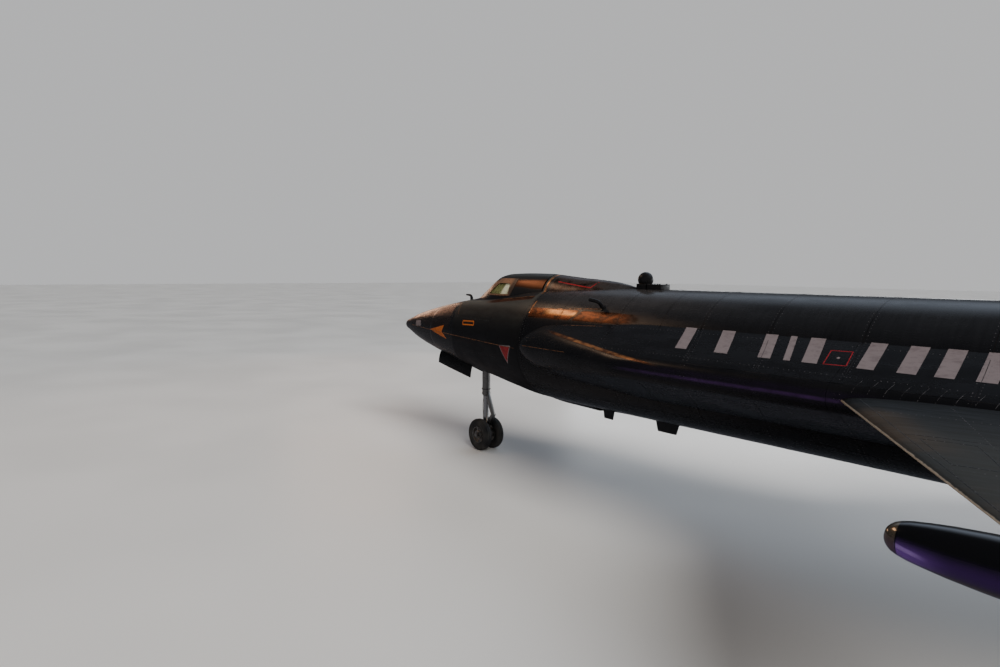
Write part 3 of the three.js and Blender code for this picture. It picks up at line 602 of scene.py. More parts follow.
def in_cabin(shape):
    """The part of a shape that lies in the cabin, a millimetre clear of its walls."""
    return carve(shape, "INTERSECT", cabin_space(-0.001))


def side_block(hand, stations, sides, heights):
    """A box on one side of the aircraft, with two stations, two sides from the middle and two heights."""
    sides = sorted(hand * side for side in sides)
    return block(*[at(*corner) for corner in zip(stations, sides, heights)])


cabin_paint = mottled(
    "cabin_paint", (7, 4), (0.2, 0.222, 0.212), (0.29, 0.315, 0.3), (0.42, 0.6), pits=(180, 2, 0.15, 0.001))
matt_black = mottled(
    "matt_black", (9, 4), (0.012, 0.012, 0.013), (0.03, 0.03, 0.031), (0.55, 0.8),
    pits=(220, 2, 0.25, 0.001))
pale_paint = mottled(
    "pale_paint", (16, 5, (1, 1, 1), 0.7), (0.62, 0.58, 0.57), (0.4, 0.36, 0.35), (0.42, 0.6), (0.35, 0.75))

panel = block(at(PANEL["front"], -0.6, PANEL["foot"]), at(PANEL["rear"], 0.6, PANEL["top"]))
fit("instrument_panel_face", in_cabin(panel), cabin_paint,
    replaces=["instrument_panel"])
coaming = block(
    at(PANEL["coaming"], -0.6, PANEL["top"] + 0.0003), at(PANEL["rear"] + 0.02, 0.6, PANEL["coaming_top"]))
fit("panel_coaming", in_cabin(rounded(coaming, 0.012, 4)), matt_black)

dials, marks = [], bmesh.new()
for row, (height, radius, count, pitch) in enumerate(DIAL_ROWS):
    for i in range(count):
        side = (i - (count - 1) / 2) * pitch
        rim = [
            (0, radius + 0.006), (0.006, radius + 0.006), (0.009, radius + 0.002), (0.006, radius - 0.002)]
        profile = [(0, 0), *rim, (0.0015, radius - 0.003), (0.0015, 0)]
        dials.append(revolve([(PANEL["rear"] + place, reach) for place, reach in profile], 40, side, height))
        here = Matrix.Translation(at(PANEL["rear"] + 0.002, side, height))
        needle = math.radians(47 * (i + 3 * row))
        for k in range(DIAL_TICKS + 1):
            is_needle = k == DIAL_TICKS
            turn = Matrix.Rotation(needle if is_needle else math.tau * k / DIAL_TICKS, 4, "X")
            out, length = (0.3, 0.75) if is_needle else (0.8, 0.16)
            shift = Matrix.Translation((0, 0, radius * out))
            size = Matrix.Diagonal((0.0008, 0.0022, radius * length, 1))
            bmesh.ops.create_cube(marks, size=1, matrix=here @ turn @ shift @ size)
fit("panel_dials", together(*dials), matt_black)
fit("panel_dial_marks", marks, pale_paint)

KNOB = [(0, 0), (0, 0.017), (0.016, 0.014), (0.019, 0.011), (0.019, 0)]
for name, hand in ENDS.items():
    box = side_block(
        hand, (CONSOLE["front"], CONSOLE["rear"]), (CONSOLE["side"], 0.7), (CONSOLE["foot"], CONSOLE["top"]))
    fit(f"console_box_{name}", in_cabin(box), cabin_paint, replaces=[f"console_{name}"])
    controls = []
    for i in range(6):
        foot = at(CONSOLE["front"] + 0.06 + 0.085 * i, hand * (CONSOLE["side"] + 0.05), CONSOLE["top"])
        controls.append(spun(KNOB, foot, UP, 16))
        outer = foot + Vector((0.02, hand * 0.07, 0))
        controls.append(rod(outer, outer + Vector((0, 0, 0.008)), 0.009, segments=6))
        controls.append(rod(outer, outer + Vector((0.006, 0, 0.03)), 0.003, 0.0045, segments=10))
    for i, lean in enumerate((-0.05, 0.03)):
        foot = at(CONSOLE["front"] + 0.16 + 0.24 * i, hand * (CONSOLE["side"] + 0.16), CONSOLE["top"])
        tip = foot + Vector((lean, 0, 0.09))
        controls.append(rod(foot, tip, 0.006, segments=12))
        controls.append(crossbar(tip, 0.018, 0.013, 20))
    fit(f"console_controls_{name}", together(*controls), matt_black)


# Control stick. A bent tube rises from a rubber boot on the floor to a moulded grip.
STICK_STATION = 2.88


def pipe(points, radii, sides=16, steps=8):
    """A bent bar through a few points, with a radius at each."""
    points = [Vector(point) for point in points]
    path = []
    for i, (start, end) in enumerate(zip(points, points[1:])):
        before = points[max(i - 1, 0)]
        after = points[min(i + 2, len(points) - 1)]
        for k in range(steps + (i == len(points) - 2)):
            t = k / steps
            place = start * (2 * t**3 - 3 * t**2 + 1) + end * (3 * t**2 - 2 * t**3)
            place += ((end - before) * (t**3 - 2 * t**2 + t) + (after - start) * (t**3 - t**2)) / 2
            path.append((place, radii[i] + (radii[i + 1] - radii[i]) * t))
    rings = []
    outwards = Vector((0, 0, 1))
    for i, (place, radius) in enumerate(path):
        line = (path[min(i + 1, len(path) - 1)][0] - path[max(i - 1, 0)][0]).normalized()
        if i == 0 and abs(line.z) > 0.9:
            outwards = Vector((0, 1, 0))
        outwards = (outwards - line * outwards.dot(line)).normalized()
        across = line.cross(outwards)
        turns = [math.tau * k / sides for k in range(sides)]
        rings.append([place + (outwards * math.cos(a) + across * math.sin(a)) * radius for a in turns])
    return loft(rings)


def loft(rings):
    """Skins a row of closed rings and fills both ends."""
    bm = bmesh.new()
    loops = []
    for ring in rings:
        verts = [bm.verts.new(point) for point in ring]
        loops.append([bm.edges.new(pair) for pair in zip(verts, verts[1:] + verts[:1])])
    for pair in zip(loops, loops[1:]):
        bmesh.ops.bridge_loops(bm, edges=pair[0] + pair[1])
    for loop in (loops[0], loops[-1]):
        bmesh.ops.edgeloop_fill(bm, edges=loop)
    bmesh.ops.recalc_face_normals(bm, faces=bm.faces)
    return bm


def stick_point(lean, height):
    return at(STICK_STATION - lean, 0, height)


FLOOR_TOP = CABIN["floor"] + 0.0005
boot_line = [
    (0, 0), (0, 0.07), (0.012, 0.068), (0.02, 0.055), (0.028, 0.058), (0.036, 0.042), (0.044, 0.044),
    (0.06, 0.02), (0.06, 0)]
boot = spun(boot_line, stick_point(0, FLOOR_TOP), UP, 40)
shaft = pipe(
    [stick_point(0, FLOOR_TOP + 0.03), stick_point(0.008, -0.15), stick_point(0.03, 0.035)], [0.016] * 3)
grip = pipe(
    [stick_point(0.028, 0.02), stick_point(0.036, 0.06), stick_point(0.044, 0.11), stick_point(0.05, 0.15)],
    [0.017, 0.022, 0.019, 0.024])
button = rod(stick_point(0.05, 0.148), stick_point(0.053, 0.158), 0.009, 0.006)
fit("control_stick_grip", together(boot, shaft, grip, button), matt_black,
    replaces=["control_stick"])


# Seat. A welded sheet frame carries padded cushions of worn olive cloth, with webbing straps over them.
# Both seen from the side: station, height.
SEAT_FRAME = [
    (3.4, FLOOR_TOP), (3.56, 0.56), (3.515, 0.56), (3.368, 0.0), (3.285, -0.12), (2.95, -0.12),
    (2.95, -0.19), (2.99, FLOOR_TOP),
]
HEADREST = [(3.52, 0.4), (3.565, 0.7), (3.5, 0.7), (3.47, 0.54), (3.48, 0.4)]
frame_shape = together(crosswise(SEAT_FRAME, -0.225, 0.225), crosswise(HEADREST, -0.1, 0.1))
fit("seat_frame", rounded(frame_shape, 0.006), cabin_paint, replaces=["seat"])

seat_cover, cloth = new_finish("seat_cover")
weave = cloth.node("TexWave", {"bands_direction": "Y"}, {"Vector": cloth.place(), "Scale": 260.0})
weft = cloth.node("TexWave", {"bands_direction": "Z"}, {"Vector": cloth.place(), "Scale": 260.0})
fade = cloth.noise(6, 4)
cloth.surface(
    base_color=cloth.mix(fade, (0.14, 0.145, 0.088), (0.24, 0.235, 0.15)),
    roughness=cloth.ease(fade, 0.3, 0.7, 0.75, 0.9),
    normal=cloth.bump(weave * 0.5 + weft * 0.5, 0.4, 0.001),
)
webbing, web = new_finish("webbing")
ribs = web.node("TexWave", {"bands_direction": "Y"}, {"Vector": web.place(), "Scale": 180.0})
web.surface(
    base_color=web.mix(ribs, (0.2, 0.19, 0.14), (0.27, 0.255, 0.19)),
    roughness=0.75,
    normal=web.bump(ribs, 0.3, 0.001),
)

STUFFING = {"voxel": 0.006, "pressure": 4, "frames": 20, "cap": 0.009}
CHANNEL_DEPTH = 0.007


def inflate(mesh):
    """Blows a closed mesh up as cloth, with no point further than the cap from its place."""
    stage = bpy.context.scene
    bag = bpy.data.objects.new("bag", mesh)
    stage.collection.objects.link(bag)
    even = bag.modifiers.new("even", "REMESH")
    even.mode = "VOXEL"
    even.voxel_size = STUFFING["voxel"]
    bag.data = bpy.data.meshes.new_from_object(bag.evaluated_get(bpy.context.evaluated_depsgraph_get()))
    bag.modifiers.clear()
    cloth = bag.modifiers.new("cloth", "CLOTH")
    cloth.settings.use_pressure = True
    cloth.settings.uniform_pressure_force = STUFFING["pressure"]
    cloth.settings.effector_weights.gravity = 0
    cloth.point_cache.frame_start, cloth.point_cache.frame_end = 1, STUFFING["frames"]
    for moment in range(1, STUFFING["frames"] + 1):
        stage.frame_set(moment)
    blown = bpy.data.meshes.new_from_object(bag.evaluated_get(bpy.context.evaluated_depsgraph_get()))
    for vert, start in zip(blown.vertices, bag.data.vertices):
        move = vert.co - start.co
        vert.co = start.co + move * min(1, STUFFING["cap"] / max(move.length, 1e-6))
    bpy.data.objects.remove(bag)
    stage.frame_set(1)
    return blown


def cushion(name, middle, size, lean, channels):
    """A stuffed pad: blown up as cloth, flat where it rests, then drawn in by its seam and sewn channels."""
    bm = bmesh.new()
    bmesh.ops.create_cube(bm, size=1)
    bmesh.ops.subdivide_edges(bm, edges=bm.edges[:], cuts=15, use_grid_fill=True)
    spare = STUFFING["cap"] * 1.4
    for vert in bm.verts:
        across, along_it, up = vert.co * 2
        edge = (1 - abs(across) ** 4) * (1 - abs(along_it) ** 4)
        crown = 0.62 + 0.38 * edge
        pull = 1 - 0.035 * (1 - abs(up)) - 0.02 * across**2 * along_it**2
        vert.co = Vector((
            across * size[0] * pull, along_it * size[1] * pull, up * (size[2] - spare) * crown)) / 2
    bmesh.ops.smooth_vert(bm, verts=bm.verts, factor=0.5, use_axis_x=True, use_axis_y=True, use_axis_z=True)
    mesh = bpy.data.meshes.new("bag")
    bm.to_mesh(mesh)
    bm.clear()
    bm.from_mesh(inflate(mesh))
    for vert in bm.verts:
        across, along_it, up = (2 * vert.co[i] / size[i] for i in range(3))
        rim = max(0, 1 - abs(across) ** 6) * max(0, 1 - abs(along_it) ** 6)
        if up > 0.4:
            vert.co.z -= CHANNEL_DEPTH * rim * abs(math.cos(math.pi * channels * along_it / 2)) ** 14
        seam = 0.012 * math.exp(-((up / 0.14) ** 2))
        vert.co.x *= 1 - seam
        vert.co.y *= 1 - seam
        vert.co.z = max(vert.co.z, -size[2] / 2)
    placed = Matrix.Translation(middle) @ Matrix.Rotation(lean, 4, "Y")
    bmesh.ops.transform(bm, matrix=placed @ Matrix.Rotation(math.pi / 2, 4, "Z"), verts=bm.verts)
    pad = fit(name, bm, seat_cover, crease=80)
    rounder = pad.modifiers.new("rounder", "SUBSURF")
    rounder.levels = rounder.render_levels = 1


cushion("seat_cushion", at(3.105, 0, -0.09), (0.42, 0.3, 0.06), 0.0, 5)
cushion("back_cushion", at(3.418, 0, 0.27), (0.42, 0.52, 0.05), math.radians(-75), 9)
cushion("headrest_cushion", at(3.474, 0, 0.62), (0.22, 0.15, 0.05), math.radians(-78), 3)


def strap(points, side, width=0.045, thickness=0.003):
    """A flat strap that follows points of (station, height) at one side place."""
    rings = []
    near, far = side - width / 2, side + width / 2
    for i, (station, height) in enumerate(points):
        before, after = points[max(i - 1, 0)], points[min(i + 1, len(points) - 1)]
        line = Vector((after[0] - before[0], after[1] - before[1])).normalized() * thickness
        high = (station - line.y, height + line.x)
        rings.append([
            at(station, near, height), at(station, far, height), at(high[0], far, high[1]),
            at(high[0], near, high[1])])
    return loft(rings)


shoulder_path = [
    (3.5, 0.575), (3.455, 0.56), (3.432, 0.5), (3.4, 0.4), (3.375, 0.3), (3.35, 0.2), (3.325, 0.1),
    (3.29, 0.02), (3.22, -0.03), (3.15, -0.05)]
lap_path = [(3.3, -0.02), (3.25, -0.045), (3.18, -0.052), (3.1, -0.052)]
straps = [strap(shoulder_path, side) for side in (-0.085, 0.085)]
straps += [strap(lap_path, side) for side in (-0.17, 0.17)]
fit("seat_harness", together(*straps), webbing)


# Spine fairing and canopy. The canopy is one welded shell over the cabin, hinged at its tail, and the
# spine fairing carries its line back into the body. Both are lofted from the same sections.
# Station, crown height, half width, fullness.
HUMP = [
    (2.03, 0.512, 0.04, 1.5), (2.28, 0.669, 0.168, 1.45), (2.43, 0.762, 0.222, 1.35),
    (2.57, 0.825, 0.258, 1.22), (2.78, 0.858, 0.288, 1.1), (3.17, 0.869, 0.303, 1), (3.54, 0.865, 0.305, 1),
    (3.64, 0.858, 0.304, 1), (3.84, 0.841, 0.297, 1), (4.06, 0.823, 0.28, 1), (4.32, 0.806, 0.25, 1),
    (4.63, 0.778, 0.19, 1), (4.96, 0.716, 0.07, 1),
]
HUMP_BASE = 0.5
HUMP_FOOT = 0.3
CANOPY_TAIL = 3.622
LID_GAP = 0.0008
SPINE_FRONT = 3.648
# Side window seen from the side: station, height.
WINDOW = [(2.473, 0.616), (2.524, 0.58), (2.986, 0.587), (2.995, 0.734), (2.89, 0.742), (2.62, 0.738)]


def hump_point(station, turn, grow=0.0):
    """A point of the hump, where turn goes from starboard (0) over the crown to port (1)."""
    angle = math.pi * turn
    crown = along(HUMP, station, 1) + grow * 1.15 - HUMP_BASE
    half = along(HUMP, station, 2) + grow
    fullness = along(HUMP, station, 3)
    across = math.copysign(abs(math.cos(angle)) ** fullness, math.cos(angle))
    return at(station, half * across, HUMP_BASE + crown * max(math.sin(angle), 0) ** fullness)


def hump_length(start, end, grow=0.0, turns=44, foot=HUMP_FOOT):
    rings = []
    for station in spaced(start, end, 0.035):
        half = along(HUMP, station, 2) + grow
        arc = [hump_point(station, i / turns, grow) for i in range(turns + 1)]
        rings.append([at(station, half, foot), *arc, at(station, -half, foot)])
    return loft(rings)


fit("spine_fairing_skin", hump_length(SPINE_FRONT, 4.96, foot=0.5), black_skin, replaces=["spine_fairing"])

bronze_skin, tan = new_finish("bronze_skin")
x, _, z = tan.axes()
station, height = x - NOSE_X, z - CENTRE_Z
smoke = tan.noise(5, 4, (0.5, 1, 1))
grain = tan.noise(70, 3, (0.2, 1, 1))
# A copper band along the canopy's side: a painted highlight.
side = tan.ease(height + smoke * 0.05, 0.66, 0.74) * tan.fade(height - smoke * 0.05, 0.745, 0.81)
front = tan.ease(station, 2.4, 2.55, 0.6, 0.0)
warm = tan.ease(side * 0.8 + front + smoke * 0.3, 0.5, 0.95)
# The canopy's black is lighter on its top: a painted sheen.
lid_black_and_top_sheen = tan.mix(tan.ease(height, 0.8, 0.86), (0.011, 0.011, 0.012), (0.04, 0.041, 0.038))
lid_bronze = tan.mix(smoke, (0.19, 0.082, 0.047), (0.095, 0.047, 0.03))
tan.surface(
    base_color=tan.mix(warm, lid_black_and_top_sheen, lid_bronze),
    metallic=tan.ease(warm, 0.0, 0.6, 0.2, 1.0),
    roughness=tan.ease(smoke, 0.3, 0.7, 0.28, 0.42),
    specular_ior_level=0.4,
    normal=tan.bump(grain, 0.06, 0.001),
)

shell = carve(hump_length(2.03, CANOPY_TAIL), "UNION", solid(body_line(1.9, CANOPY_TAIL)))
head_room = hump_length(2.25, CANOPY_TAIL + 0.02, -CABIN["canopy_skin"])
shoulder_room = carve(
    solid(body_line(CABIN["front"], CANOPY_TAIL + 0.02, -CABIN["skin"])), "INTERSECT",
    block(at(2.2, -0.8, 0.3), at(3.7, 0.8, 0.9)))
lid_space = crosswise(
    [(station, height + LID_GAP) for station, height in SILL] + [(3.64, 1.0), (2.03, 1.0)], -0.8, 0.8)
shell = carve(shell, "INTERSECT", lid_space)
shell = carve(shell, "DIFFERENCE", head_room, shoulder_room, crosswise(WINDOW, -0.6, 0.6))
fit("canopy_skin", shell, bronze_skin, "canopy", ["canopy"], crease=30)


# Windows. Each side has one glass pane in a bronze frame, which is screwed to the canopy. The pane's pale
# yellow stands in for light seen through it.
PANE = {"outside": 0.008, "inside": 0.02, "gap": 0.001}
FRAME = {"proud": 0.005, "screw_line": 0.02}
# Frame seen from the side: station, height. It is widest above the glass and at its rear corner.
FRAME_OUTSIDE = [
    (2.425, 0.63), (2.46, 0.568), (3.03, 0.572), (3.075, 0.68), (3.09, 0.8), (2.69, 0.8), (2.57, 0.752)]
FRAME_INSIDE = [(2.515, 0.6), (2.545, 0.587), (2.982, 0.592), (2.982, 0.72), (2.94, 0.735), (2.7, 0.734)]


def outset(outline, width):
    """Moves the edges of a flat outline outwards, with mitred corners."""
    corners = []
    for before, here, after in zip(outline[-1:] + outline[:-1], outline, outline[1:] + outline[:1]):
        first = (Vector(here) - Vector(before)).normalized()
        second = (Vector(after) - Vector(here)).normalized()
        mitre = Vector((first.y + second.y, -first.x - second.x)).normalized()
        corners.append(tuple(Vector(here) + mitre * width / mitre.dot(Vector((first.y, -first.x)))))
    return corners


def hump_layer(outside, inside, opening, start, end):
    """The part of the hump's skin between two depths that an opening seen from the side leaves."""
    layer = carve(hump_length(2.3, 3.2, outside), "INTERSECT", crosswise(opening, start, end))
    return carve(layer, "DIFFERENCE", hump_length(2.28, 3.22, inside))


window_glass, glass = new_finish("window_glass")
x, _, z = glass.axes()
film = glass.noise(5, 3)
slant = x - NOSE_X - (z - CENTRE_Z) * 0.35 + film * 0.06
# A slanted bright band across the glass: a painted reflection.
glare = glass.band(slant, 2.6, 2.655, 2.73, 2.8, 0.45)
glass.surface(
    base_color=glass.mix(glare, (0.3, 0.31, 0.12), (0.95, 0.93, 0.66)),
    roughness=glass.ease(film, 0.3, 0.7, 0.03, 0.09),
    alpha=glass.ease(film + glare * 0.4, 0.3, 1.0, 0.3, 0.55),
    specular_ior_level=0.6,
)

frame_bronze, gold = new_finish("frame_bronze")
burnt = gold.noise(14, 4)
# The frame's rear part is darker: a painted shadow.
shade = gold.ease(gold.axes()[0] - NOSE_X + burnt * 0.05, 2.98, 3.06, 0.0, 0.85)
bright = gold.mix(gold.ease(burnt, 0.3, 0.7), (0.4, 0.21, 0.12), (0.24, 0.13, 0.075))
ribs = gold.node("TexWave", {"bands_direction": "Z"}, {"Vector": gold.place(), "Scale": 22})
gold.surface(
    base_color=gold.mix(shade, bright, (0.06, 0.048, 0.04)),
    metallic=0.55,
    roughness=gold.ease(burnt, 0.3, 0.7, 0.26, 0.4),
    normal=gold.bump(ribs, 0.25, 0.0015),
)
for name, start, end in (("left", -0.6, -0.02), ("right", 0.02, 0.6)):
    pane = hump_layer(-PANE["outside"], -PANE["inside"], outset(WINDOW, -PANE["gap"]), start, end)
    fit(f"window_pane_{name}", pane, window_glass, "canopy", [f"window_{name}"])
    rim = hump_layer(FRAME["proud"], -0.001, FRAME_OUTSIDE, start, end)
    rim = carve(rim, "DIFFERENCE", crosswise(FRAME_INSIDE, start, end))
    fit(f"window_frame_{name}", rim, frame_bronze, "canopy")


# Belly fairing. A shallow blister of the same skin, screwed on under the cabin, lofted from half rounds.
# Station, depth below the centreline, half width.
BELLY = [(3.25, 0.655, 0.06), (3.5, 0.706, 0.165), (3.9, 0.744, 0.225), (4.44, 0.757, 0.235)]
BELLY_TOP = 0.56


def belly_ring(station, steps=24):
    depth, half = along(BELLY, station, 1), along(BELLY, station, 2)
    angles = [math.pi * i / steps for i in range(steps + 1)]
    return [
        at(station, half * math.cos(a), -BELLY_TOP - (depth - BELLY_TOP) * math.sin(a)) for a in angles]


fit("belly_fairing_skin", loft([belly_ring(station) for station in spaced(3.25, 4.44, 0.05)]), black_skin,
    replaces=["belly_fairing"])


# Side tunnels. Long fairings of folded sheet run down both flanks and cover the pipes and cables. Each has
# an upper and a lower flat that meet in a rounded edge, and is lofted from sections along the body.
# Station, side of the sharp corner, fillet of the edge.
TUNNEL = [
    (3.62, 0.74, 0.095), (3.76, 0.9, 0.16), (3.92, 1.02, 0.23), (4.15, 1.126, 0.29), (4.6, 1.185, 0.245),
    (5.05, 1.215, 0.19), (5.6, 1.2526, 0.135), (15.05, 1.2526, 0.135),
]
TUNNEL_SLOPE = math.radians(30)
TUNNEL_SPLIT = 7.6
TUNNEL_TAIL = 15.05
TUNNEL_INNER = 0.45
TUNNEL_HALF = 1.1176
SPINDLE = {"station": 13.95, "bore": 0.0457, "radius": 0.045, "inner": 0.9, "outer": 1.2}


def tunnel_ring(hand, station, steps=16, inner_radius=None):
    """One section of a tunnel, from its inner top edge over its rounded edge to its inner bottom edge."""
    corner, fillet = along(TUNNEL, station, 1), along(TUNNEL, station, 2)
    centre = corner - fillet / math.sin(TUNNEL_SLOPE)
    swing = math.pi / 2 - TUNNEL_SLOPE
    edge = []
    for i in range(steps + 1):
        angle = swing * (1 - 2 * i / steps)
        edge.append((centre + fillet * math.cos(angle), fillet * math.sin(angle)))
    if inner_radius is None:
        shoulder = (corner - TUNNEL_INNER) * math.tan(TUNNEL_SLOPE)
        inside = [(TUNNEL_INNER, -shoulder), (TUNNEL_INNER, shoulder)]
    else:
        start = swing - math.acos(corner * math.sin(TUNNEL_SLOPE) / inner_radius)
        turns = [start * (2 * i / 8 - 1) for i in range(9)]
        inside = [(inner_radius * math.cos(a), inner_radius * math.sin(a)) for a in turns]
    return [at(station, hand * side, height) for side, height in edge + inside]


def spindle_rod(hand, start, end, radius):
    """A round bar along the line that a tailplane turns about."""
    return rod(at(SPINDLE["station"], hand * start), at(SPINDLE["station"], hand * end), radius, segments=48)


for name, hand in ENDS.items():
    stations = [3.62, *spaced(3.68, 5.6, 0.06), TUNNEL_SPLIT - 0.003]
    front = loft([tunnel_ring(hand, station) for station in stations])
    fit(f"side_tunnel_front_skin_{name}", front, black_skin, replaces=[f"side_tunnel_front_{name}"])
    rear = loft([tunnel_ring(hand, station, inner_radius=0.68) for station in (TUNNEL_SPLIT, TUNNEL_TAIL)])
    rear = carve(rear, "DIFFERENCE", spindle_rod(hand, 0.88, 1.3, SPINDLE["bore"]))
    fit(f"side_tunnel_rear_skin_{name}", rear, black_skin, replaces=[f"side_tunnel_rear_{name}"])


# Wings and flaps. Thin sharp-edged wings of screwed alloy panels over many spars, with a plain flap at the
# inner tail of each. A wing is lofted from its aerofoil at two places, and its flap is cut out of it.
WING = {"apex": 6.874, "sweep": 36.75, "root_tail": 11.06, "tail_sweep": 17.77, "inner": 1.0, "tip": 3.44}
FLAP = {"hinge": 10.27, "outer": 2.49, "pin": 0.012, "gap": 0.006}
# Share of the chord, half thickness as a share of the chord.
AEROFOIL = [
    (0, 0.0012), (0.005, 0.0045), (0.02, 0.0095), (0.06, 0.0145), (0.15, 0.0195), (0.3, 0.0235),
    (0.5, 0.025), (0.7, 0.0225), (0.85, 0.0175), (1, 0.0085),
]


def wing_finish(name):
    """A greyer skin than the body's, brushed along the chord, with a bare pale edge and scorches aft."""
    material, skin = new_finish(name)
    x, y, _ = skin.axes()
    side, sweep = abs(y), math.radians(WING["sweep"])
    behind = (x - NOSE_X - WING["apex"] - side * math.tan(sweep)) * math.cos(sweep)
    streaks = skin.noise(26, 5, (0.12, 1, 1), 0.6)
    broad = skin.noise(1.6, 4, (0.5, 1, 1))
    body = skin.mix(streaks * 0.6 + broad * 0.4, (0.011, 0.0122, 0.0118), (0.053, 0.053, 0.047))
    body = skin.mix(skin.ease(side, 1.2, 2.5, 0.85, 0.0), body, (0.0035, 0.004, 0.0045))
    scorch = skin.fade(behind, 0.02, 0.3) * skin.ease(broad, 0.45, 0.62, 0.0, 0.8)
    body = skin.mix(scorch, body, (0.06, 0.042, 0.026))
    chips = skin.noise(18, 4, (1, 1, 1), 0.7)
    edge = skin.fade(behind + chips * 0.01, 0.007, 0.012)
    skin.surface(
        base_color=skin.mix(edge, body, (0.72, 0.62, 0.48)),
        metallic=skin.ease(edge, 0.0, 1.0, 0.1, 0.8),
        roughness=skin.ease(streaks, 0.3, 0.7, 0.55, 0.68),
        specular_ior_level=0.2,
        normal=skin.bump(streaks, 0.12, 0.002),
    )
    return material


wing_skin = wing_finish("wing_skin")


def wing_nose(side):
    return WING["apex"] + side * math.tan(math.radians(WING["sweep"]))


def wing_tail(side):
    return WING["root_tail"] - (side - TUNNEL_HALF) * math.tan(math.radians(WING["tail_sweep"]))


def aerofoil_ring(nose, tail, side, height=0.0, steps=26):
    chord = tail - nose
    shares = [0.5 - 0.5 * math.cos(math.pi * i / steps) for i in range(steps + 1)]
    upper = [(nose + share * chord, along(AEROFOIL, share) * chord) for share in shares]
    ring = [*upper, *[(station, -half) for station, half in reversed(upper)]]
    return [at(station, side, height + half) for station, half in ring]


def wing_half(side, station):
    chord = wing_tail(side) - wing_nose(side)
    return chord * along(AEROFOIL, (station - wing_nose(side)) / chord)


def wing_blank(hand):
    ends = (WING["inner"], WING["tip"])
    return loft([aerofoil_ring(wing_nose(side), wing_tail(side), hand * side) for side in ends])


def hinge_bar(hand, start, end, grow):
    """A round bar that fills the wing's thickness along the flap's hinge line."""
    ends = [at(FLAP["hinge"], hand * side) for side in (start, end)]
    radii = [wing_half(side, FLAP["hinge"]) + grow for side in (start, end)]
    return rod(*ends, *radii, segments=64)


def flap_block(hand, start, end):
    return side_block(hand, (FLAP["hinge"], 11.3), (start, end), (-0.2, 0.2))


def flap_pins(hand, spans, grow=0.0):
    """The pins that the flap turns on, one for each span along the hinge line."""
    return [
        rod(at(FLAP["hinge"], hand * start), at(FLAP["hinge"], hand * end), FLAP["pin"] + grow)
        for start, end in spans]


for name, hand in ENDS.items():
    pins = flap_pins(hand, ((1.06, 1.17), (FLAP["outer"] - 0.05, FLAP["outer"] + 0.04)))
    wing = carve(
        wing_blank(hand), "DIFFERENCE", flap_block(hand, 0.9, FLAP["outer"]),
        hinge_bar(hand, 0.9, FLAP["outer"], FLAP["gap"]))
    fit(f"wing_skin_{name}", together(wing, *pins), wing_skin, replaces=[f"wing_{name}"])
    root, tip = TUNNEL_HALF + FLAP["gap"], FLAP["outer"] - FLAP["gap"]
    flap = carve(
        carve(wing_blank(hand), "INTERSECT", flap_block(hand, root, tip)), "UNION",
        carve(wing_blank(hand), "INTERSECT", hinge_bar(hand, root, tip, -0.0005)))
    bores = flap_pins(hand, ((root - 0.02, 1.176), (tip - 0.05, tip + 0.02)), 0.0006)
    flap = carve(flap, "DIFFERENCE", *bores)
    fit(f"flap_skin_{name}", flap, wing_skin, f"flap_{name}", replaces=[f"flap_{name}"])


# Wing-tip pods. Smooth glossy bodies with a screwed nose cap, spun from a profile.
# Distance aft of the pod's nose, radius.
POD = {"nose": 8.95, "side": 3.5}
POD_LINE = [
    (0, 0), (0.006, 0.024), (0.025, 0.047), (0.06, 0.062), (0.18, 0.082), (0.34, 0.096), (0.52, 0.1015),
    (1.08, 0.1015), (1.32, 0.08), (1.47, 0.055),
]
gloss_black, gloss = new_finish("gloss_black")
x, _, z = gloss.axes()
low, back = z - CENTRE_Z, x - NOSE_X - POD["nose"]
haze = gloss.noise(3, 2, (0.3, 1, 1))
streak = gloss.noise(14, 3, (0.06, 1, 1))
# The violet band on the lower side is a painted reflection, brightest near the nose, and the narrow bright
# streak is a painted highlight. The lower edge is a darker purple.
under = gloss.fade(low + haze * 0.04, -0.01, 0.045)
keel = gloss.fade(low + haze * 0.04, -0.055, -0.03)
flare = gloss.stripe(low + back * 0.17 - 0.002, 0.003, 0.012) * gloss.band(back, 0.03, 0.05, 0.1, 0.17)
violet = gloss.mix(haze * 0.5 + streak * 0.5, (0.012, 0.005, 0.032), (0.13, 0.036, 0.28))
violet = gloss.mix(gloss.ease(back, 0.06, 0.24), (0.3, 0.11, 0.62), violet)
violet = gloss.mix(keel, violet, (0.04, 0.017, 0.04))
violet = gloss.mix(flare, gloss.mix(under, (0.009, 0.009, 0.011), violet), (0.62, 0.36, 0.95))
# The cap is tan above, and purple below where the painted reflection reaches it.
tan_cap = gloss.mix(under, (0.19, 0.15, 0.1), (0.12, 0.06, 0.11))
capped = gloss.mix(gloss.fade(back, 0.052, 0.055), violet, tan_cap)
joint = gloss.stripe(back - 0.056, 0.001, 0.003)
gloss.surface(
    base_color=gloss.mix(joint, capped, (0.002, 0.002, 0.002)),
    metallic=0.75,
    roughness=gloss.ease(haze, 0.3, 0.7, 0.16, 0.3),
    coat_weight=0.6,
    coat_roughness=0.06,
)
# The blunt nose is read by its radius, so that its points lie evenly round the curve.
by_radius = [(radius, place) for place, radius in POD_LINE[:7]]
pod_line = [(along(by_radius, i * 0.0085), i * 0.0085) for i in range(12)]
pod_line += [(place, along(POD_LINE, place)) for place in spaced(0.36, 1.47, 0.06)]
pod_line.append((1.47, 0))
for name, hand in ENDS.items():
    pod = revolve([(POD["nose"] + place, radius) for place, radius in pod_line], 64, hand * POD["side"])
    fit(f"wing_tip_pod_skin_{name}", pod, gloss_black, replaces=[f"wing_tip_pod_{name}"])


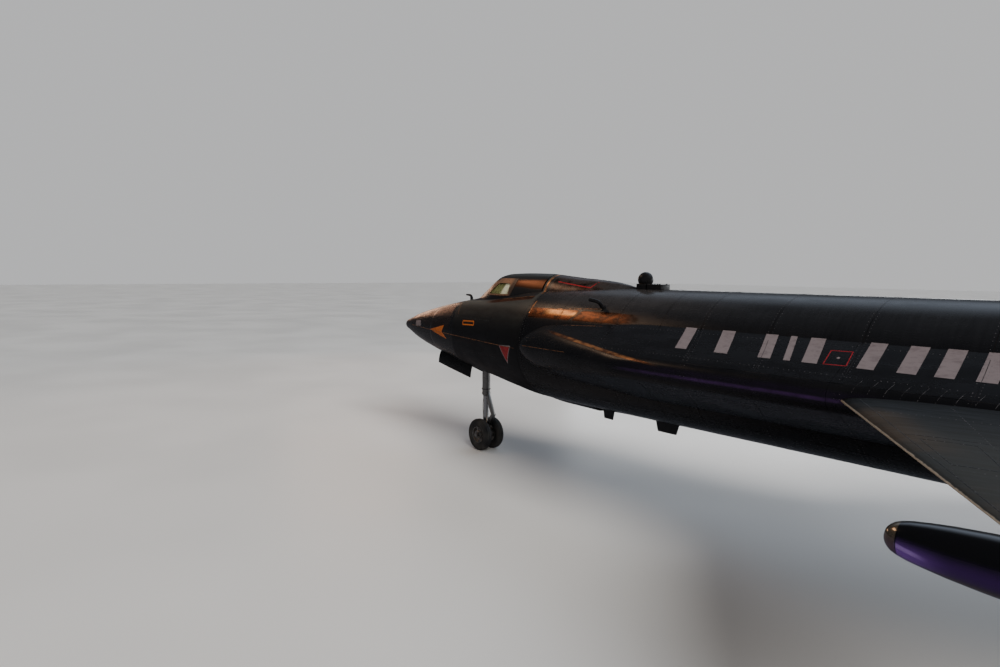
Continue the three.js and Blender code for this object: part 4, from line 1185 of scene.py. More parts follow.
# Tailplanes. Each turns whole on a spindle that passes into the tunnel. They are drooped, and lofted from
# the same aerofoil as the wings.
LENGTH = 15.469
TAIL = {"root": 1.126, "tip": 2.755, "tip_chord": 0.643, "sweep": 50.8, "tail_sweep": 18.1, "droop": 15}


def tail_nose(side):
    return LENGTH - TAIL["tip_chord"] - (TAIL["tip"] - side) * math.tan(math.radians(TAIL["sweep"]))


def tail_end(side):
    return LENGTH - (TAIL["tip"] - side) * math.tan(math.radians(TAIL["tail_sweep"]))


droop = (TAIL["tip"] - TAIL["root"]) * math.tan(math.radians(TAIL["droop"]))
for name, hand in ENDS.items():
    surface = loft([
        aerofoil_ring(tail_nose(TAIL["root"]), tail_end(TAIL["root"]), hand * TAIL["root"]),
        aerofoil_ring(tail_nose(TAIL["tip"]), tail_end(TAIL["tip"]), hand * TAIL["tip"], -droop)])
    spindle = spindle_rod(hand, SPINDLE["inner"], SPINDLE["outer"], SPINDLE["radius"])
    fit(f"tailplane_skin_{name}", together(surface, spindle), wing_skin, f"tailplane_{name}",
        replaces=[f"tailplane_{name}"])


# Fins, rudder and speed brakes. Blunt wedges above and below the tail. The top of the upper one turns whole
# as the rudder, and a slab of each flank of both opens as a speed brake. They are lofted from flat sections.
FIN = {"tail": 15.0, "root_chord": 3.112, "foot": 0.711, "tip": 2.107, "sweep": 30, "half_wedge": 5}
STUB = {"top": 1.172, "brake_foot": 0.728, "brake_front": 13.976, "brake_skin": 0.036}
RUDDER = {"station": 13.35, "radius": 0.05, "foot": 0.98, "gap": 0.008}
FIN_EDGE = {"half": 0.007, "length": 0.012}
BRAKE_GAP = 0.006


def fin_nose(height):
    slant = math.tan(math.radians(FIN["sweep"]))
    return FIN["tail"] - FIN["root_chord"] + (abs(height) - FIN["foot"]) * slant


def fin_half(station, height):
    return (station - fin_nose(height)) * math.tan(math.radians(FIN["half_wedge"]))


def fin_ring(height):
    front, tail = fin_nose(height), FIN["tail"]
    half = fin_half(tail, height)
    round_edge = [
        (front + FIN_EDGE["length"] * (1 - math.cos(a)), FIN_EDGE["half"] * math.sin(a))
        for a in (math.radians(i * 15) for i in range(-6, 7))]
    return [at(station, side, height) for station, side in [(tail, -half), *round_edge, (tail, half)]]


def fin_length(start, end):
    return loft([fin_ring(start), fin_ring(end)])


def brake_slab(hand, sign, grow, foot, top):
    """A speed brake as a flat outline carried up or down, with its allowance to the fin all round."""
    front, rear = STUB["brake_front"] - grow, FIN["tail"] + grow
    inside = STUB["brake_skin"] + (0.0005 if grow else 0)
    outside = 0.2 if grow else 0
    corners = [
        (front, fin_half(front, STUB["top"]) - inside), (rear, fin_half(rear, STUB["top"]) - inside),
        (rear, fin_half(rear, STUB["top"]) + outside), (front, fin_half(front, STUB["top"]) + outside)]
    return plate(
        [at(station, hand * side, sign * foot) for station, side in corners], (0, 0, sign * (top - foot)))


for level, sign in (("upper", 1), ("lower", -1)):
    stub = fin_length(sign * 0.62, sign * STUB["top"])
    recesses = [
        brake_slab(hand, sign, BRAKE_GAP, STUB["brake_foot"] - BRAKE_GAP, STUB["top"] + 0.1)
        for hand in ENDS.values()]
    if sign > 0:
        recesses.append(rod(
            at(RUDDER["station"], 0, RUDDER["foot"] - 0.006), at(RUDDER["station"], 0, STUB["top"] + 0.1),
            RUDDER["radius"] + 0.0007, segments=48))
    fit(f"fin_stub_skin_{level}", carve(stub, "DIFFERENCE", *recesses), black_skin,
        replaces=[f"fin_stub_{level}"])
    for name, hand in ENDS.items():
        slab = brake_slab(hand, sign, 0, STUB["brake_foot"], STUB["top"] - BRAKE_GAP)
        slab = rounded(slab, 0.002, 2)
        fit(f"speed_brake_skin_{level}_{name}", slab, black_skin, f"speed_brake_{level}_{name}",
            replaces=[f"speed_brake_{level}_{name}"])
rudder_spindle = rod(
    at(RUDDER["station"], 0, RUDDER["foot"]), at(RUDDER["station"], 0, STUB["top"] + 0.06),
    RUDDER["radius"], segments=48)
fit("rudder_skin", together(fin_length(STUB["top"] + RUDDER["gap"], FIN["tip"]), rudder_spindle), black_skin,
    "rudder", replaces=["rudder_upper"])


# Engine and nozzle. The closed engine fills the bay as one block, and its pipes end in a ring round the
# nozzle. The nozzle is a bell of brazed tubes with bands round it, spun from its inner line and its wall.
NOZZLE_WALL = 0.018
# Station, inner radius.
BELL = [
    (13.9503, 0.15), (14.2, 0.15), (14.33, 0.112), (14.45, 0.15), (14.7, 0.29), (15.0, 0.41), (15.33, 0.482)]
NOZZLE_TUBES = 120

nozzle_metal, bell = new_finish("nozzle_metal")
x, y, z = bell.axes()
turn = bell.node("Math", {"operation": "ARCTAN2"}, [z - CENTRE_Z, y])
tubes = bell.node("Math", {"operation": "SINE"}, [turn * NOZZLE_TUBES])
soot = bell.noise(6, 4, (0.4, 1, 1))
heat = bell.ease(x - NOSE_X, 14.2, 15.33)
bell.surface(
    base_color=bell.mix(bell.ease(soot + heat * 0.25, 0.4, 0.85), (0.36, 0.33, 0.29), (0.11, 0.097, 0.095)),
    metallic=0.95,
    roughness=bell.ease(soot, 0.3, 0.7, 0.4, 0.6),
    normal=bell.bump(tubes, 0.35, 0.004, bell.bump(soot, 0.1, 0.003)),
)
engine_metal = mottled(
    "engine_metal", (9, 4), (0.12, 0.115, 0.105), (0.24, 0.225, 0.2), (0.35, 0.6),
    pits=(140, 3, 0.15, 0.001), metallic=0.85)
frame["nodes"]["engine_block"].material_slots[0].material = engine_metal

inner = [(station, along(BELL, station)) for station in spaced(BELL[0][0], BELL[-1][0], 0.03)]
outer = [(station, radius + NOZZLE_WALL) for station, radius in reversed(inner)]
nozzle = spun(inner + outer, at(0), (1, 0, 0), 192, closed=True)
fit("engine_nozzle_bell", nozzle, nozzle_metal, replaces=["engine_nozzle"])


def hoop(station, radius, thickness, sides=12, steps=128):
    """A round ring about the body's centreline."""
    turns = [math.tau * k / sides for k in range(sides)]
    line = [(station + thickness * math.cos(a), radius + thickness * math.sin(a)) for a in turns]
    return spun(line, at(0), (1, 0, 0), steps, closed=True)


bands = [hoop(s, along(BELL, s) + NOZZLE_WALL, 0.008) for s in (14.56, 14.7, 14.85, 15.0, 15.15)]
bands.append(hoop(15.322, along(BELL, 15.322) + NOZZLE_WALL * 0.5, 0.011))
fit("nozzle_bands", together(*bands), nozzle_metal)

# From a flange on the engine to the ring: station, distance from the centreline.
PIPE_ROUTE = [(13.952, 0.3), (14.1, 0.31), (14.3, 0.27), (14.42, 0.21)]
PIPES = 6
pipes = [hoop(14.44, 0.205, 0.026), hoop(14.28, 0.19, 0.018)]
for k in range(PIPES):
    angle = math.tau * (k + 0.5) / PIPES
    across = Vector((0, math.cos(angle), math.sin(angle)))
    route = [at(station) + across * reach for station, reach in PIPE_ROUTE]
    pipes.append(pipe(route, [0.022] * 4))
    flange = route[0]
    pipes.append(rod(flange, flange + Vector((0.02, 0, 0)), 0.04, segments=24))
fit("engine_pipes", together(*pipes), engine_metal)

ribs = [hoop(station, 0.592, 0.014, 8) for station in (13.5, 14.0, 14.5, 14.95)]
fit("engine_bay_ribs", together(*ribs), black_skin)


# Nose leg. A steel oil cylinder with a chromed piston hangs from a trunnion across the bay. Torque links
# behind it keep the twin wheels straight, and a brake pipe runs down it.
WHEEL = {"station": 2.16, "radius": 0.2286, "axle": 0.025, "width": 0.112, "side": 0.11}
AXLE_HEIGHT = WHEEL["radius"] - CENTRE_Z
# Station behind the leg, height above the axle.
LOWER_LINK = [(0.027, 0.048), (0.19, 0.3), (0.152, 0.318), (0.019, 0.122)]
UPPER_LINK = [(0.041, 0.647), (0.194, 0.309), (0.148, 0.291), (0.017, 0.533)]
TRUNNION = {"height": -0.06, "half": 0.1797, "radius": 0.036}


def leg_point(behind, above, side=0.0):
    return at(WHEEL["station"] + behind, side, AXLE_HEIGHT + above)


cylinder_line = [
    (0, 0), (0, 0.05), (0.008, 0.058), (0.3, 0.058), (0.303, 0.0635), (0.333, 0.0635), (0.336, 0.058),
    (0.82, 0.058), (0.823, 0.064), (0.845, 0.064), (0.848, 0.058), (0.866, 0.052), (0.8714, 0.045),
    (0.8714, 0)]
cylinder = spun(cylinder_line, at(WHEEL["station"], 0, -0.04), DOWN, 64)
fork_line = [(-0.066, 0), (-0.066, 0.04), (-0.06, 0.046), (0.024, 0.046), (0.03, 0.04), (0.03, 0)]
fork = spun(fork_line, leg_point(0, 0), DOWN, 48)
trunnion = crossbar(at(WHEEL["station"], 0, TRUNNION["height"]), TRUNNION["half"], TRUNNION["radius"], 48)
collars = [
    crossbar(at(WHEEL["station"], side, TRUNNION["height"]), 0.012, 0.05, 40) for side in (-0.12, 0.12)]
reach = WHEEL["side"] + WHEEL["width"] / 2 + 0.02
axle = crossbar(leg_point(0, 0), reach, WHEEL["axle"], 40)
nuts = [
    rod(leg_point(0, 0, hand * (reach - 0.016)), leg_point(0, 0, hand * (reach + 0.004)), 0.034, segments=6)
    for hand in ENDS.values()]
fit("nose_leg", together(cylinder, fork, trunnion, axle, *collars, *nuts), bare_steel,
    replaces=["nose_gear_leg"])

chrome = mottled(
    "chromed_steel", (12, 3), (0.62, 0.62, 0.61), (0.7, 0.7, 0.68), (0.08, 0.18), metallic=1.0)
fit("nose_leg_piston", rod(leg_point(0, 0.03), leg_point(0, 0.6), 0.038, segments=56), chrome)
links = []
for outline, half in ((LOWER_LINK, 0.031), (UPPER_LINK, 0.023)):
    corners = [(WHEEL["station"] + behind, AXLE_HEIGHT + above) for behind, above in outline]
    links.append(rounded(crosswise(corners, -half, half), 0.003))
links.append(crossbar(leg_point(0.171, 0.304), 0.04, 0.011, 24))
fit("nose_leg_links", together(*links), bare_steel)
line_points = [(-0.062, 1.25), (-0.068, 1.0), (-0.068, 0.7), (-0.062, 0.56), (-0.075, 0.4), (-0.058, 0.12)]
brake_line = pipe([leg_point(*point) for point in line_points], [0.005] * len(line_points), 10)
clips = [
    rod(leg_point(0, above - 0.006), leg_point(0, above + 0.006), 0.066, segments=48)
    for above in (0.66, 0.96, 1.2)]
fit("nose_leg_brake_line", together(brake_line, *clips), engine_metal)


# Nose wheels. Two cast alloy wheels turn together on the axle, and carry plain rubber tyres with three
# grooves. Wheel and tyre are spun from their sections, and the wheel's web has round holes.
tyre_rubber = mottled(
    "tyre_rubber", (9, 4), (0.016, 0.016, 0.017), (0.05, 0.047, 0.043), (0.6, 0.85), (0.35, 0.7),
    pits=(60, 4, 0.2, 0.002))
# Place across the tyre as a share of half its width, radius.
TYRE = [
    (0.8, 0.1185), (0.9, 0.128), (0.97, 0.142), (1.0, 0.16), (1.0, 0.178), (0.975, 0.195), (0.92, 0.207),
    (0.8, 0.2165), (0.68, 0.222), (0.55, 0.2252), (0.53, 0.219), (0.47, 0.219), (0.45, 0.2268),
    (0.25, 0.2286), (0.07, 0.2286), (0.05, 0.221),
]
# Place across the rim, radius.
RIM = [
    (0.05, 0.0262), (0.05, 0.058), (0.044, 0.062), (0.022, 0.07), (0.02, 0.1), (0.044, 0.108),
    (0.048, 0.118)]
HOLES = {"count": 8, "ring": 0.085, "radius": 0.012}
BOLT = {"ring": 0.046, "foot": 0.049, "rise": 0.008, "radius": 0.006}


def mirrored(half):
    """A section across a wheel: the given half, and the same turned over."""
    return half + [(-place, radius) for place, radius in reversed(half)]


for name, hand in ENDS.items():
    centre = leg_point(0, 0, hand * WHEEL["side"])
    flank = [(share * (WHEEL["width"] / 2), radius) for share, radius in TYRE]
    tyre = spun(mirrored(flank), centre, (0, 1, 0), 96, closed=True)
    fit(f"nose_tyre_ring_{name}", tyre, tyre_rubber, "nose_wheels", [f"nose_tyre_{name}"])
    holes, bolts = [], []
    for k in range(HOLES["count"]):
        angle = math.tau * k / HOLES["count"]
        spot = centre + Vector((math.cos(angle), 0, math.sin(angle))) * HOLES["ring"]
        holes.append(crossbar(spot, 0.1, HOLES["radius"], 24))
        angle += math.pi / HOLES["count"]
        for side in ENDS.values():
            spot = centre + Vector((
                math.cos(angle) * BOLT["ring"], side * BOLT["foot"], math.sin(angle) * BOLT["ring"]))
            bolts.append(rod(spot, spot + Vector((0, side * BOLT["rise"], 0)), BOLT["radius"], segments=6))
    disc = carve(spun(mirrored(RIM), centre, (0, 1, 0), 72, closed=True), "DIFFERENCE", *holes)
    fit(f"nose_rim_{name}", together(disc, *bolts), bare_steel, "nose_wheels",
        [f"nose_wheel_{name}"])


# Nose gear doors. A thin skin door hangs from each edge of the bay on three knuckles, and a pressed pan
# stiffens its inside. Each is cut from the body's own shape and then turned open about its hinge.
DOOR = {"front": 1.238, "rear": 2.04, "skin": 0.014, "centre_gap": 0.0025, "edge_gap": 0.004, "open": 84}
DOOR_HEIGHTS = (-0.7, 0)
KNUCKLE = {"stations": (1.3, 1.62, 1.94), "radius": 0.007, "length": 0.06}
hinges = {joint["name"]: joint for joint in frame["joints"]}
door_inside = mottled(
    "door_inside", (8, 5), (0.11, 0.115, 0.1), (0.2, 0.2, 0.17), (0.42, 0.62), metallic=0.4)
PAN = {"front": 1.27, "rear": 2.005, "near": 0.03, "far": 0.15}
POCKET = {"front": 1.29, "length": 0.15, "pitch": 0.178, "near": 0.045, "far": 0.135, "count": 4}
BAY_RIB = {"stations": (1.36, 1.52, 1.68, 1.84, 2.0), "length": 0.02, "depth": 0.016, "gap": 0.0005}


def body_layer(start, end, outside, inside):
    """The body's skin between two depths, over a length of it."""
    inner = body_line(start - 0.02, end + 0.02, inside)
    return carve(solid(body_line(start, end, outside)), "DIFFERENCE", solid(inner))


for name, hand in ENDS.items():
    hinge = hinges[f"nose_door_{name}_hinge"]
    pivot, line = Vector(hinge["pos_m"]), Vector(hinge["axis"]).normalized()
    swing = Matrix.Rotation(-math.radians(DOOR["open"]), 3, line)
    cut = side_block(
        hand, (DOOR["front"], DOOR["rear"]), (DOOR["centre_gap"], BAY["half"] - DOOR["edge_gap"]),
        DOOR_HEIGHTS)
    door = carve(body_layer(1.2, 2.4, 0, -DOOR["skin"]), "INTERSECT", cut)
    knuckles = []
    for station in KNUCKLE["stations"]:
        middle = pivot + line * ((at(station).x - pivot.x) / line.x)
        reach = line * KNUCKLE["length"] / 2
        knuckles.append(rod(middle - reach, middle + reach, KNUCKLE["radius"], segments=24))
    door = together(door, *knuckles)
    pan = carve(
        body_layer(1.2, 2.4, -DOOR["skin"] + 0.001, -DOOR["skin"] - 0.008), "INTERSECT",
        side_block(hand, (PAN["front"], PAN["rear"]), (PAN["near"], PAN["far"]), DOOR_HEIGHTS))
    pockets = []
    for k in range(POCKET["count"]):
        start = POCKET["front"] + POCKET["pitch"] * k
        pockets.append(side_block(
            hand, (start, start + POCKET["length"]), (POCKET["near"], POCKET["far"]), (-0.8, 0.1)))
    pan = carve(pan, "DIFFERENCE", *pockets)
    for shape in (door, pan):
        bmesh.ops.rotate(shape, cent=pivot, matrix=swing, verts=shape.verts)
    fit(f"nose_door_skin_{name}", door, black_skin, f"nose_gear_door_{name}",
        replaces=[f"nose_gear_door_{name}"])
    fit(f"nose_door_pan_{name}", pan, door_inside, f"nose_gear_door_{name}")

bay_ribs = []
deep, shallow = BAY["roof"] - BAY_RIB["depth"], BAY["roof"] - BAY_RIB["gap"]
near, far = BAY["half"] - BAY_RIB["depth"], BAY["half"] - BAY_RIB["gap"]
for start in BAY_RIB["stations"]:
    stations = (start, start + BAY_RIB["length"])
    for hand in ENDS.values():
        bay_ribs.append(side_block(hand, stations, (near, far), (-0.3, BAY["roof"] - 0.001)))
    bay_ribs.append(block(at(stations[0], -far, deep), at(stations[1], far, shallow)))
fit("nose_bay_ribs", together(*bay_ribs), door_inside)


# Tail skids. On each side a strut and a drag brace of steel tube carry a flat skid of hardened steel, which
# tips on a ball at its ankle. Long wear has left its sole bright.
SKID = {"side": 1.2, "front": 12.43, "rear": 13.33, "ankle": 12.95, "ankle_height": 0.095, "ball": 0.048,
        "width": 0.15}
# Upper ends of the strut and of the brace: station, side, height. The brace's foot is set from the ankle.
STRUT_HEAD = (12.65, 0.47, -0.47)
BRACE_HEAD = (11.5, 0.48, -0.48)
BRACE_FOOT = (-0.108, -0.072, 0.112)
GROUND = -CENTRE_Z
# Seen from the side: station, height above the ground.
SHOE = [
    (SKID["front"] + 0.13, 0), (SKID["rear"] - 0.02, 0), (SKID["rear"], 0.02), (SKID["rear"], 0.026),
    (SKID["ankle"] + 0.11, 0.04), (SKID["ankle"] + 0.06, 0.095), (SKID["ankle"] - 0.06, 0.095),
    (SKID["ankle"] - 0.12, 0.04), (SKID["front"] + 0.12, 0.026), (SKID["front"] + 0.02, 0.08),
    (SKID["front"], 0.066)]
worn_sole, shoe = new_finish("worn_sole")
rubbed = shoe.fade(shoe.axes()[2], 0.0, 0.05)
scratch = shoe.noise(40, 4, (0.05, 1, 1))
shoe.surface(
    base_color=shoe.mix(rubbed * 0.7 + scratch * 0.25, (0.1, 0.098, 0.095), (0.4, 0.385, 0.36)),
    metallic=1.0,
    roughness=shoe.ease(scratch, 0.3, 0.7, 0.28, 0.5),
    normal=shoe.bump(scratch, 0.2, 0.001),
)


def sided(hand, station, side, height):
    return at(station, hand * side, height)


def sphere(centre, radius, segments=40, rings=24):
    bm = bmesh.new()
    bmesh.ops.create_uvsphere(
        bm, u_segments=segments, v_segments=rings, radius=radius, matrix=Matrix.Translation(centre))
    return bm


for name, hand in ENDS.items():
    ankle = sided(hand, SKID["ankle"], SKID["side"], GROUND + SKID["ankle_height"])
    knee = sided(hand, *STRUT_HEAD)
    down = ankle - knee
    sleeve = rod(knee + down * 0.1, knee + down * 0.5, 0.054, 0.05, segments=48)
    gland = rod(knee + down * 0.5, knee + down * 0.525, 0.057, segments=48)
    strut = rod(knee, ankle, 0.048, 0.038, segments=48)
    ball = sphere(ankle, SKID["ball"])
    fit(f"skid_strut_tube_{name}", together(strut, sleeve, gland, ball), bare_steel,
        replaces=[f"skid_strut_{name}"])
    foot = ankle + Vector((BRACE_FOOT[0], hand * BRACE_FOOT[1], BRACE_FOOT[2]))
    head = sided(hand, *BRACE_HEAD)
    drag = foot - head
    brace = rod(head, foot, 0.028, segments=40)
    ends = [
        rod(head + drag * start, head + drag * end, 0.035, segments=40)
        for start, end in ((0.03, 0.12), (0.9, 0.99))]
    eye = crossbar(foot, 0.03, 0.034, 32)
    fit(f"skid_brace_tube_{name}", together(brace, *ends, eye), bare_steel,
        replaces=[f"skid_brace_{name}"])
    low, high = hand * SKID["side"] - SKID["width"] / 2, hand * SKID["side"] + SKID["width"] / 2
    skid = rounded(crosswise([(station, GROUND + height) for station, height in SHOE], low, high), 0.003)
    cup = sphere(ankle, SKID["ball"] + 0.001)
    skid = carve(skid, "DIFFERENCE", cup, rod(knee, ankle, 0.054, 0.044, segments=40))
    fit(f"skid_shoe_{name}", skid, worn_sole, replaces=[f"skid_{name}"])


# Masts, vents and aerials. A thin pitot mast bends forward over the nose, a vent pipe leaves each shoulder
# behind the canopy, and two thin blade aerials hang below the body.
skin_radius = along(BODY, 1.79)
soot_black = mottled(
    "soot_black", (30, 4), (0.004, 0.004, 0.005), (0.016, 0.015, 0.015), (0.25, 0.45), metallic=0.3)
mast_route = [(1.8, skin_radius - 0.03), (1.795, skin_radius + 0.03), (1.765, 0.532), (1.665, 0.539)]
mast = pipe([at(s, 0, h) for s, h in mast_route], [0.024, 0.023, 0.017, 0.011], 24, 10)
mast_foot = spun(
    [(0, 0), (0, 0.03), (0.004, 0.03), (0.012, 0.018), (0.03, 0.011), (0.03, 0)],
    at(1.797, 0, skin_radius - 0.001), (-0.25, 0, 1), 32)
mast_tip = rod(at(1.665, 0, 0.539), at(1.66, 0, 0.5393), 0.007, 0.0035, segments=24)
fit("pitot_mast_tube", together(mast, mast_foot, mast_tip), soot_black,
    replaces=["pitot_mast"])

# Each pipe stands halfway up the shoulder: station, distance from the centreline.
VENT = [(4.868, 0.69), (4.866, 0.785), (4.848, 0.814), (4.758, 0.84)]
FLANGE = [(-0.004, 0), (-0.004, 0.038), (0.004, 0.036), (0.008, 0.022), (0.008, 0)]


def shoulder_point(hand, station, reach):
    return at(station, hand * reach * math.sqrt(0.5), reach * math.sqrt(0.5))


for name, hand in ENDS.items():
    places = [shoulder_point(hand, *place) for place in VENT]
    mouth = (places[-1] - places[-2]).normalized()
    vent = pipe([*places[:-1], places[-1] + mouth * 0.004], [0.02, 0.02, 0.02, 0.021], 24, 10)
    bore = rod(places[-2].lerp(places[-1], 0.35), places[-1] + mouth * 0.02, 0.0125, segments=24)
    vent = carve(vent, "DIFFERENCE", bore)
    outwards = Vector((0, hand, 1)).normalized()
    flange = spun(FLANGE, shoulder_point(hand, VENT[0][0], BODY[-1][1]), outwards, 36)
    fit(f"vent_pipe_tube_{name}", together(vent, flange), soot_black, replaces=[f"vent_pipe_{name}"])

# Station, height.
STEPPED_AERIAL = [
    (4.446, -0.69), (4.47, -0.838), (4.6, -0.842), (4.62, -0.742), (4.8, -0.735), (4.8, -0.69)]
PLAIN_AERIAL = [(5.22, -0.69), (5.26, -0.846), (5.5, -0.846), (5.55, -0.69)]
for name, outline in (("blade_aerial_front", STEPPED_AERIAL), ("blade_aerial_rear", PLAIN_AERIAL)):
    blade = rounded(crosswise(outline, -0.009, 0.009), 0.004)
    start, end = outline[0][0] - 0.02, outline[-1][0] + 0.02
    base = rounded(block(at(start, -0.035, -0.73), at(end, 0.035, -0.69)), 0.004)
    fit(f"{name}_plate", together(blade, base), black_skin, replaces=[name])


# Hoisting lug. A thick stepped pad is bolted to the top of the body behind the spine fairing, and carries a
# steel ball that the lifting gear grips.
LUG = {"front": 4.966, "step": 5.118, "rear": 5.3, "half": 0.08, "top": 0.768, "pad_top": 0.764}
LUG_BALL = {"station": 5.03, "radius": 0.085, "rise": 0.044}
seat_block = rounded(
    block(at(LUG["front"], -LUG["half"], 0.66), at(LUG["step"], LUG["half"], LUG["top"])), 0.004)
pad_block = rounded(
    block(at(LUG["step"] - 0.02, -LUG["half"], 0.66), at(LUG["rear"], LUG["half"], LUG["pad_top"])), 0.003)
lug_ball = sphere(at(LUG_BALL["station"], 0, LUG["top"] + LUG_BALL["rise"]), LUG_BALL["radius"], 64, 40)
lug_bolts = [
    rod(at(s, side, LUG["pad_top"] - 0.002), at(s, side, LUG["pad_top"] + 0.007), 0.009, segments=6)
    for s in (5.15, 5.27) for side in (-0.06, 0.06)]
fit("hoist_lug_block", together(seat_block, pad_block, lug_ball, *lug_bolts), soot_black,
    replaces=["hoist_lug"])


# Seams and screws. The skin is made of short lengths and panels, which meet in narrow raised lap joints and
# are held down by rows of flush screws. Each follows the skin below it.
SEAM = {"width": 0.006, "proud": 0.0007, "sink": 0.001, "to_screws": 0.02}
SCREW = {"radius": 0.0044, "proud": 0.0011, "pitch": 0.034}
WIDE_PITCH = 0.042


def surface_of(*names):
    """The named pieces as one surface that can be felt with a straight probe."""
    whole = bmesh.new()
    for name in names:
        whole.from_mesh(bpy.data.objects[name].data)
    surface = BVHTree.FromBMesh(whole)
    whole.free()
    return surface


def feel(surface, start, inwards):
    """Where a probe first meets a surface, with the normal that faces it."""
    place, normal = surface.ray_cast(start, inwards)[:2]
    if place is None:
        return None
    return place, normal if normal.dot(inwards) < 0 else -normal


def track(surface, starts, inwards):
    felt = [feel(surface, start, Vector(inwards).normalized()) for start in starts]
    return [touch for touch in felt if touch]


def line_track(surface, start, end, inwards, step=0.03):
    """A straight line seen along the probe, from one point to another."""
    steps = max(1, round((end - start).length / step))
    return track(surface, [start.lerp(end, i / steps) for i in range(steps + 1)], inwards)


def ring_track(surface, station, start, end, lean=0.0, step=2.5):
    """Part of a ring round the body, in degrees: starboard is 0, the crown 90 and port 180. It can lean
    aft on the tunnels."""
    touches = []
    for angle in spaced(start, end, step):
        a = math.radians(angle)
        outwards = Vector((0, math.cos(a), math.sin(a)))
        centre = at(station + lean * max(0, 1 - abs(math.asin(math.sin(a))) / 0.56))
        touch = feel(surface, centre + outwards * 2, -outwards)
        if touch:
            touches.append(touch)
    return touches


def ribbon(touches, width=SEAM["width"], proud=SEAM["proud"], sink=SEAM["sink"]):
    """A narrow strip that lies on a track."""
    rings = []
    for i, (place, normal) in enumerate(touches):
        line = touches[min(i + 1, len(touches) - 1)][0] - touches[max(i - 1, 0)][0]
        aside = normal.cross(line).normalized() * width / 2
        rings.append([
            place - aside - normal * sink, place - aside * 0.7 + normal * proud,
            place + aside * 0.7 + normal * proud, place + aside - normal * sink])
    return loft(rings)


def screws(touches, pitch=SCREW["pitch"], radius=SCREW["radius"]):
    """A row of screw heads along a track."""
    row = bmesh.new()
    travelled = pitch / 2
    for (before, _), (here, normal) in zip(touches, touches[1:]):
        step = (here - before).length
        while step and travelled < step:
            place = before.lerp(here, travelled / step)
            turn = normal.to_track_quat("Z", "Y").to_matrix().to_4x4()
            bmesh.ops.create_cone(
                row, cap_ends=True, segments=8, radius1=radius, radius2=radius * 0.55,
                depth=SCREW["proud"] * 2, matrix=Matrix.Translation(place) @ turn)
            travelled += pitch
        travelled -= step
    return row


def beside(hand, points, reach=2):
    """Points of (station, height), set well out to one side of the aircraft."""
    return [at(station, hand * reach, height) for station, height in points]


def over(hand, points, height):
    """Points of (station, side) on one side of the aircraft, set at one height."""
    return [at(station, hand * side, height) for station, side in points]


seam_metal = mottled(
    "seam_metal", (9, 4), (0.008, 0.008, 0.009), (0.06, 0.05, 0.047), (0.3, 0.5), (0.4, 0.7), metallic=0.9)
screw_metal = mottled(
    "screw_metal", (25, 2), (0.035, 0.033, 0.035), (0.2, 0.186, 0.195), (0.3, 0.45), (0.35, 0.65),
    metallic=0.6)

BODY_PIECES = ["nose_cone_skin", "forward_body_skin", "centre_body_skin", "aft_body_skin"]
TUNNEL_PIECES = [f"side_tunnel_{end}_skin_{name}" for end in ("front", "rear") for name in ENDS]
hull = surface_of(*BODY_PIECES, *TUNNEL_PIECES, "spine_fairing_skin", "belly_fairing_skin")

# Station, lean aft on the tunnels, whether it is screwed, and its two angles where it doesn't go all round.
BODY_RINGS = [
    (0.42, 0, False), (2.26, 0, True, 150, 250), (2.26, 0, True, -70, 30), (2.98, 0, False, 145, 250),
    (2.98, 0, False, -70, 35), (3.73, 0, True), (4.3, 0, False), (5.16, 0.06, True), (5.72, 0.12, False),
    (6.18, 0.18, True), (6.86, 0.16, True), (7.62, 0.06, True), (8.45, 0.045, True), (9.5, 0, True),
    (10.45, 0, False), (11.4, 0, True), (12.35, 0, False), (13.2, 0, True), (14.2, 0, False),
]
# On the tunnel, felt from above: side, first and last station, height of the probe, whether it is screwed.
TUNNEL_SEAMS = [(0.985, 5.0, 15.0, 0.5, True), (1.06, 6.3, 15.0, 0.5, False), (0.66, 4.4, 15.0, 0.8, True)]
TUNNEL_RIBS = {"front": 7.8, "pitch": 0.105, "count": 17, "inner": 1.0, "outer": 1.1, "slant": 0.03}
# On the flank above and below the tunnel, each with a seam above its screws: height, first and last station.
FLANK_SEAMS = [(0.25, 1.6, 2.98), (-0.2, 2.26, 3.5), (-0.52, 2.98, 9.4), (0.46, 3.66, 4.6)]
FLANK_PITCH = 0.06
# Copper lines along the flank, partly a joint's copper and partly a painted highlight where warm highlight
# lines fall: first and last station, height at each, width.
COPPER_EDGES = [
    (4.4, 5.0, 0.295, 0.322, 0.004), (2.95, 3.6, 0.527, 0.588, 0.006), (0.45, 3.6, 0.02, -0.04, 0.006),
    (3.85, 4.75, 0.02, 0.045, 0.006), (3.9, 4.9, 0.45, 0.495, 0.005)]
# Edge of the copper in front of the canopy, seen from above: station, side.
NOSE_PANEL = [(1.8, 0.02), (1.84, 0.219), (1.96, 0.338), (2.03, 0.41)]

seams, rows, ribs, edges = [], [], [], []
for station, lean, screwed, *angles in BODY_RINGS:
    start, end = angles or (-90, 270)
    seams.append(ribbon(ring_track(hull, station, start, end, lean)))
    if screwed:
        for side in (-SEAM["to_screws"], SEAM["to_screws"]):
            rows.append(screws(ring_track(hull, station + side, start, end, lean)))

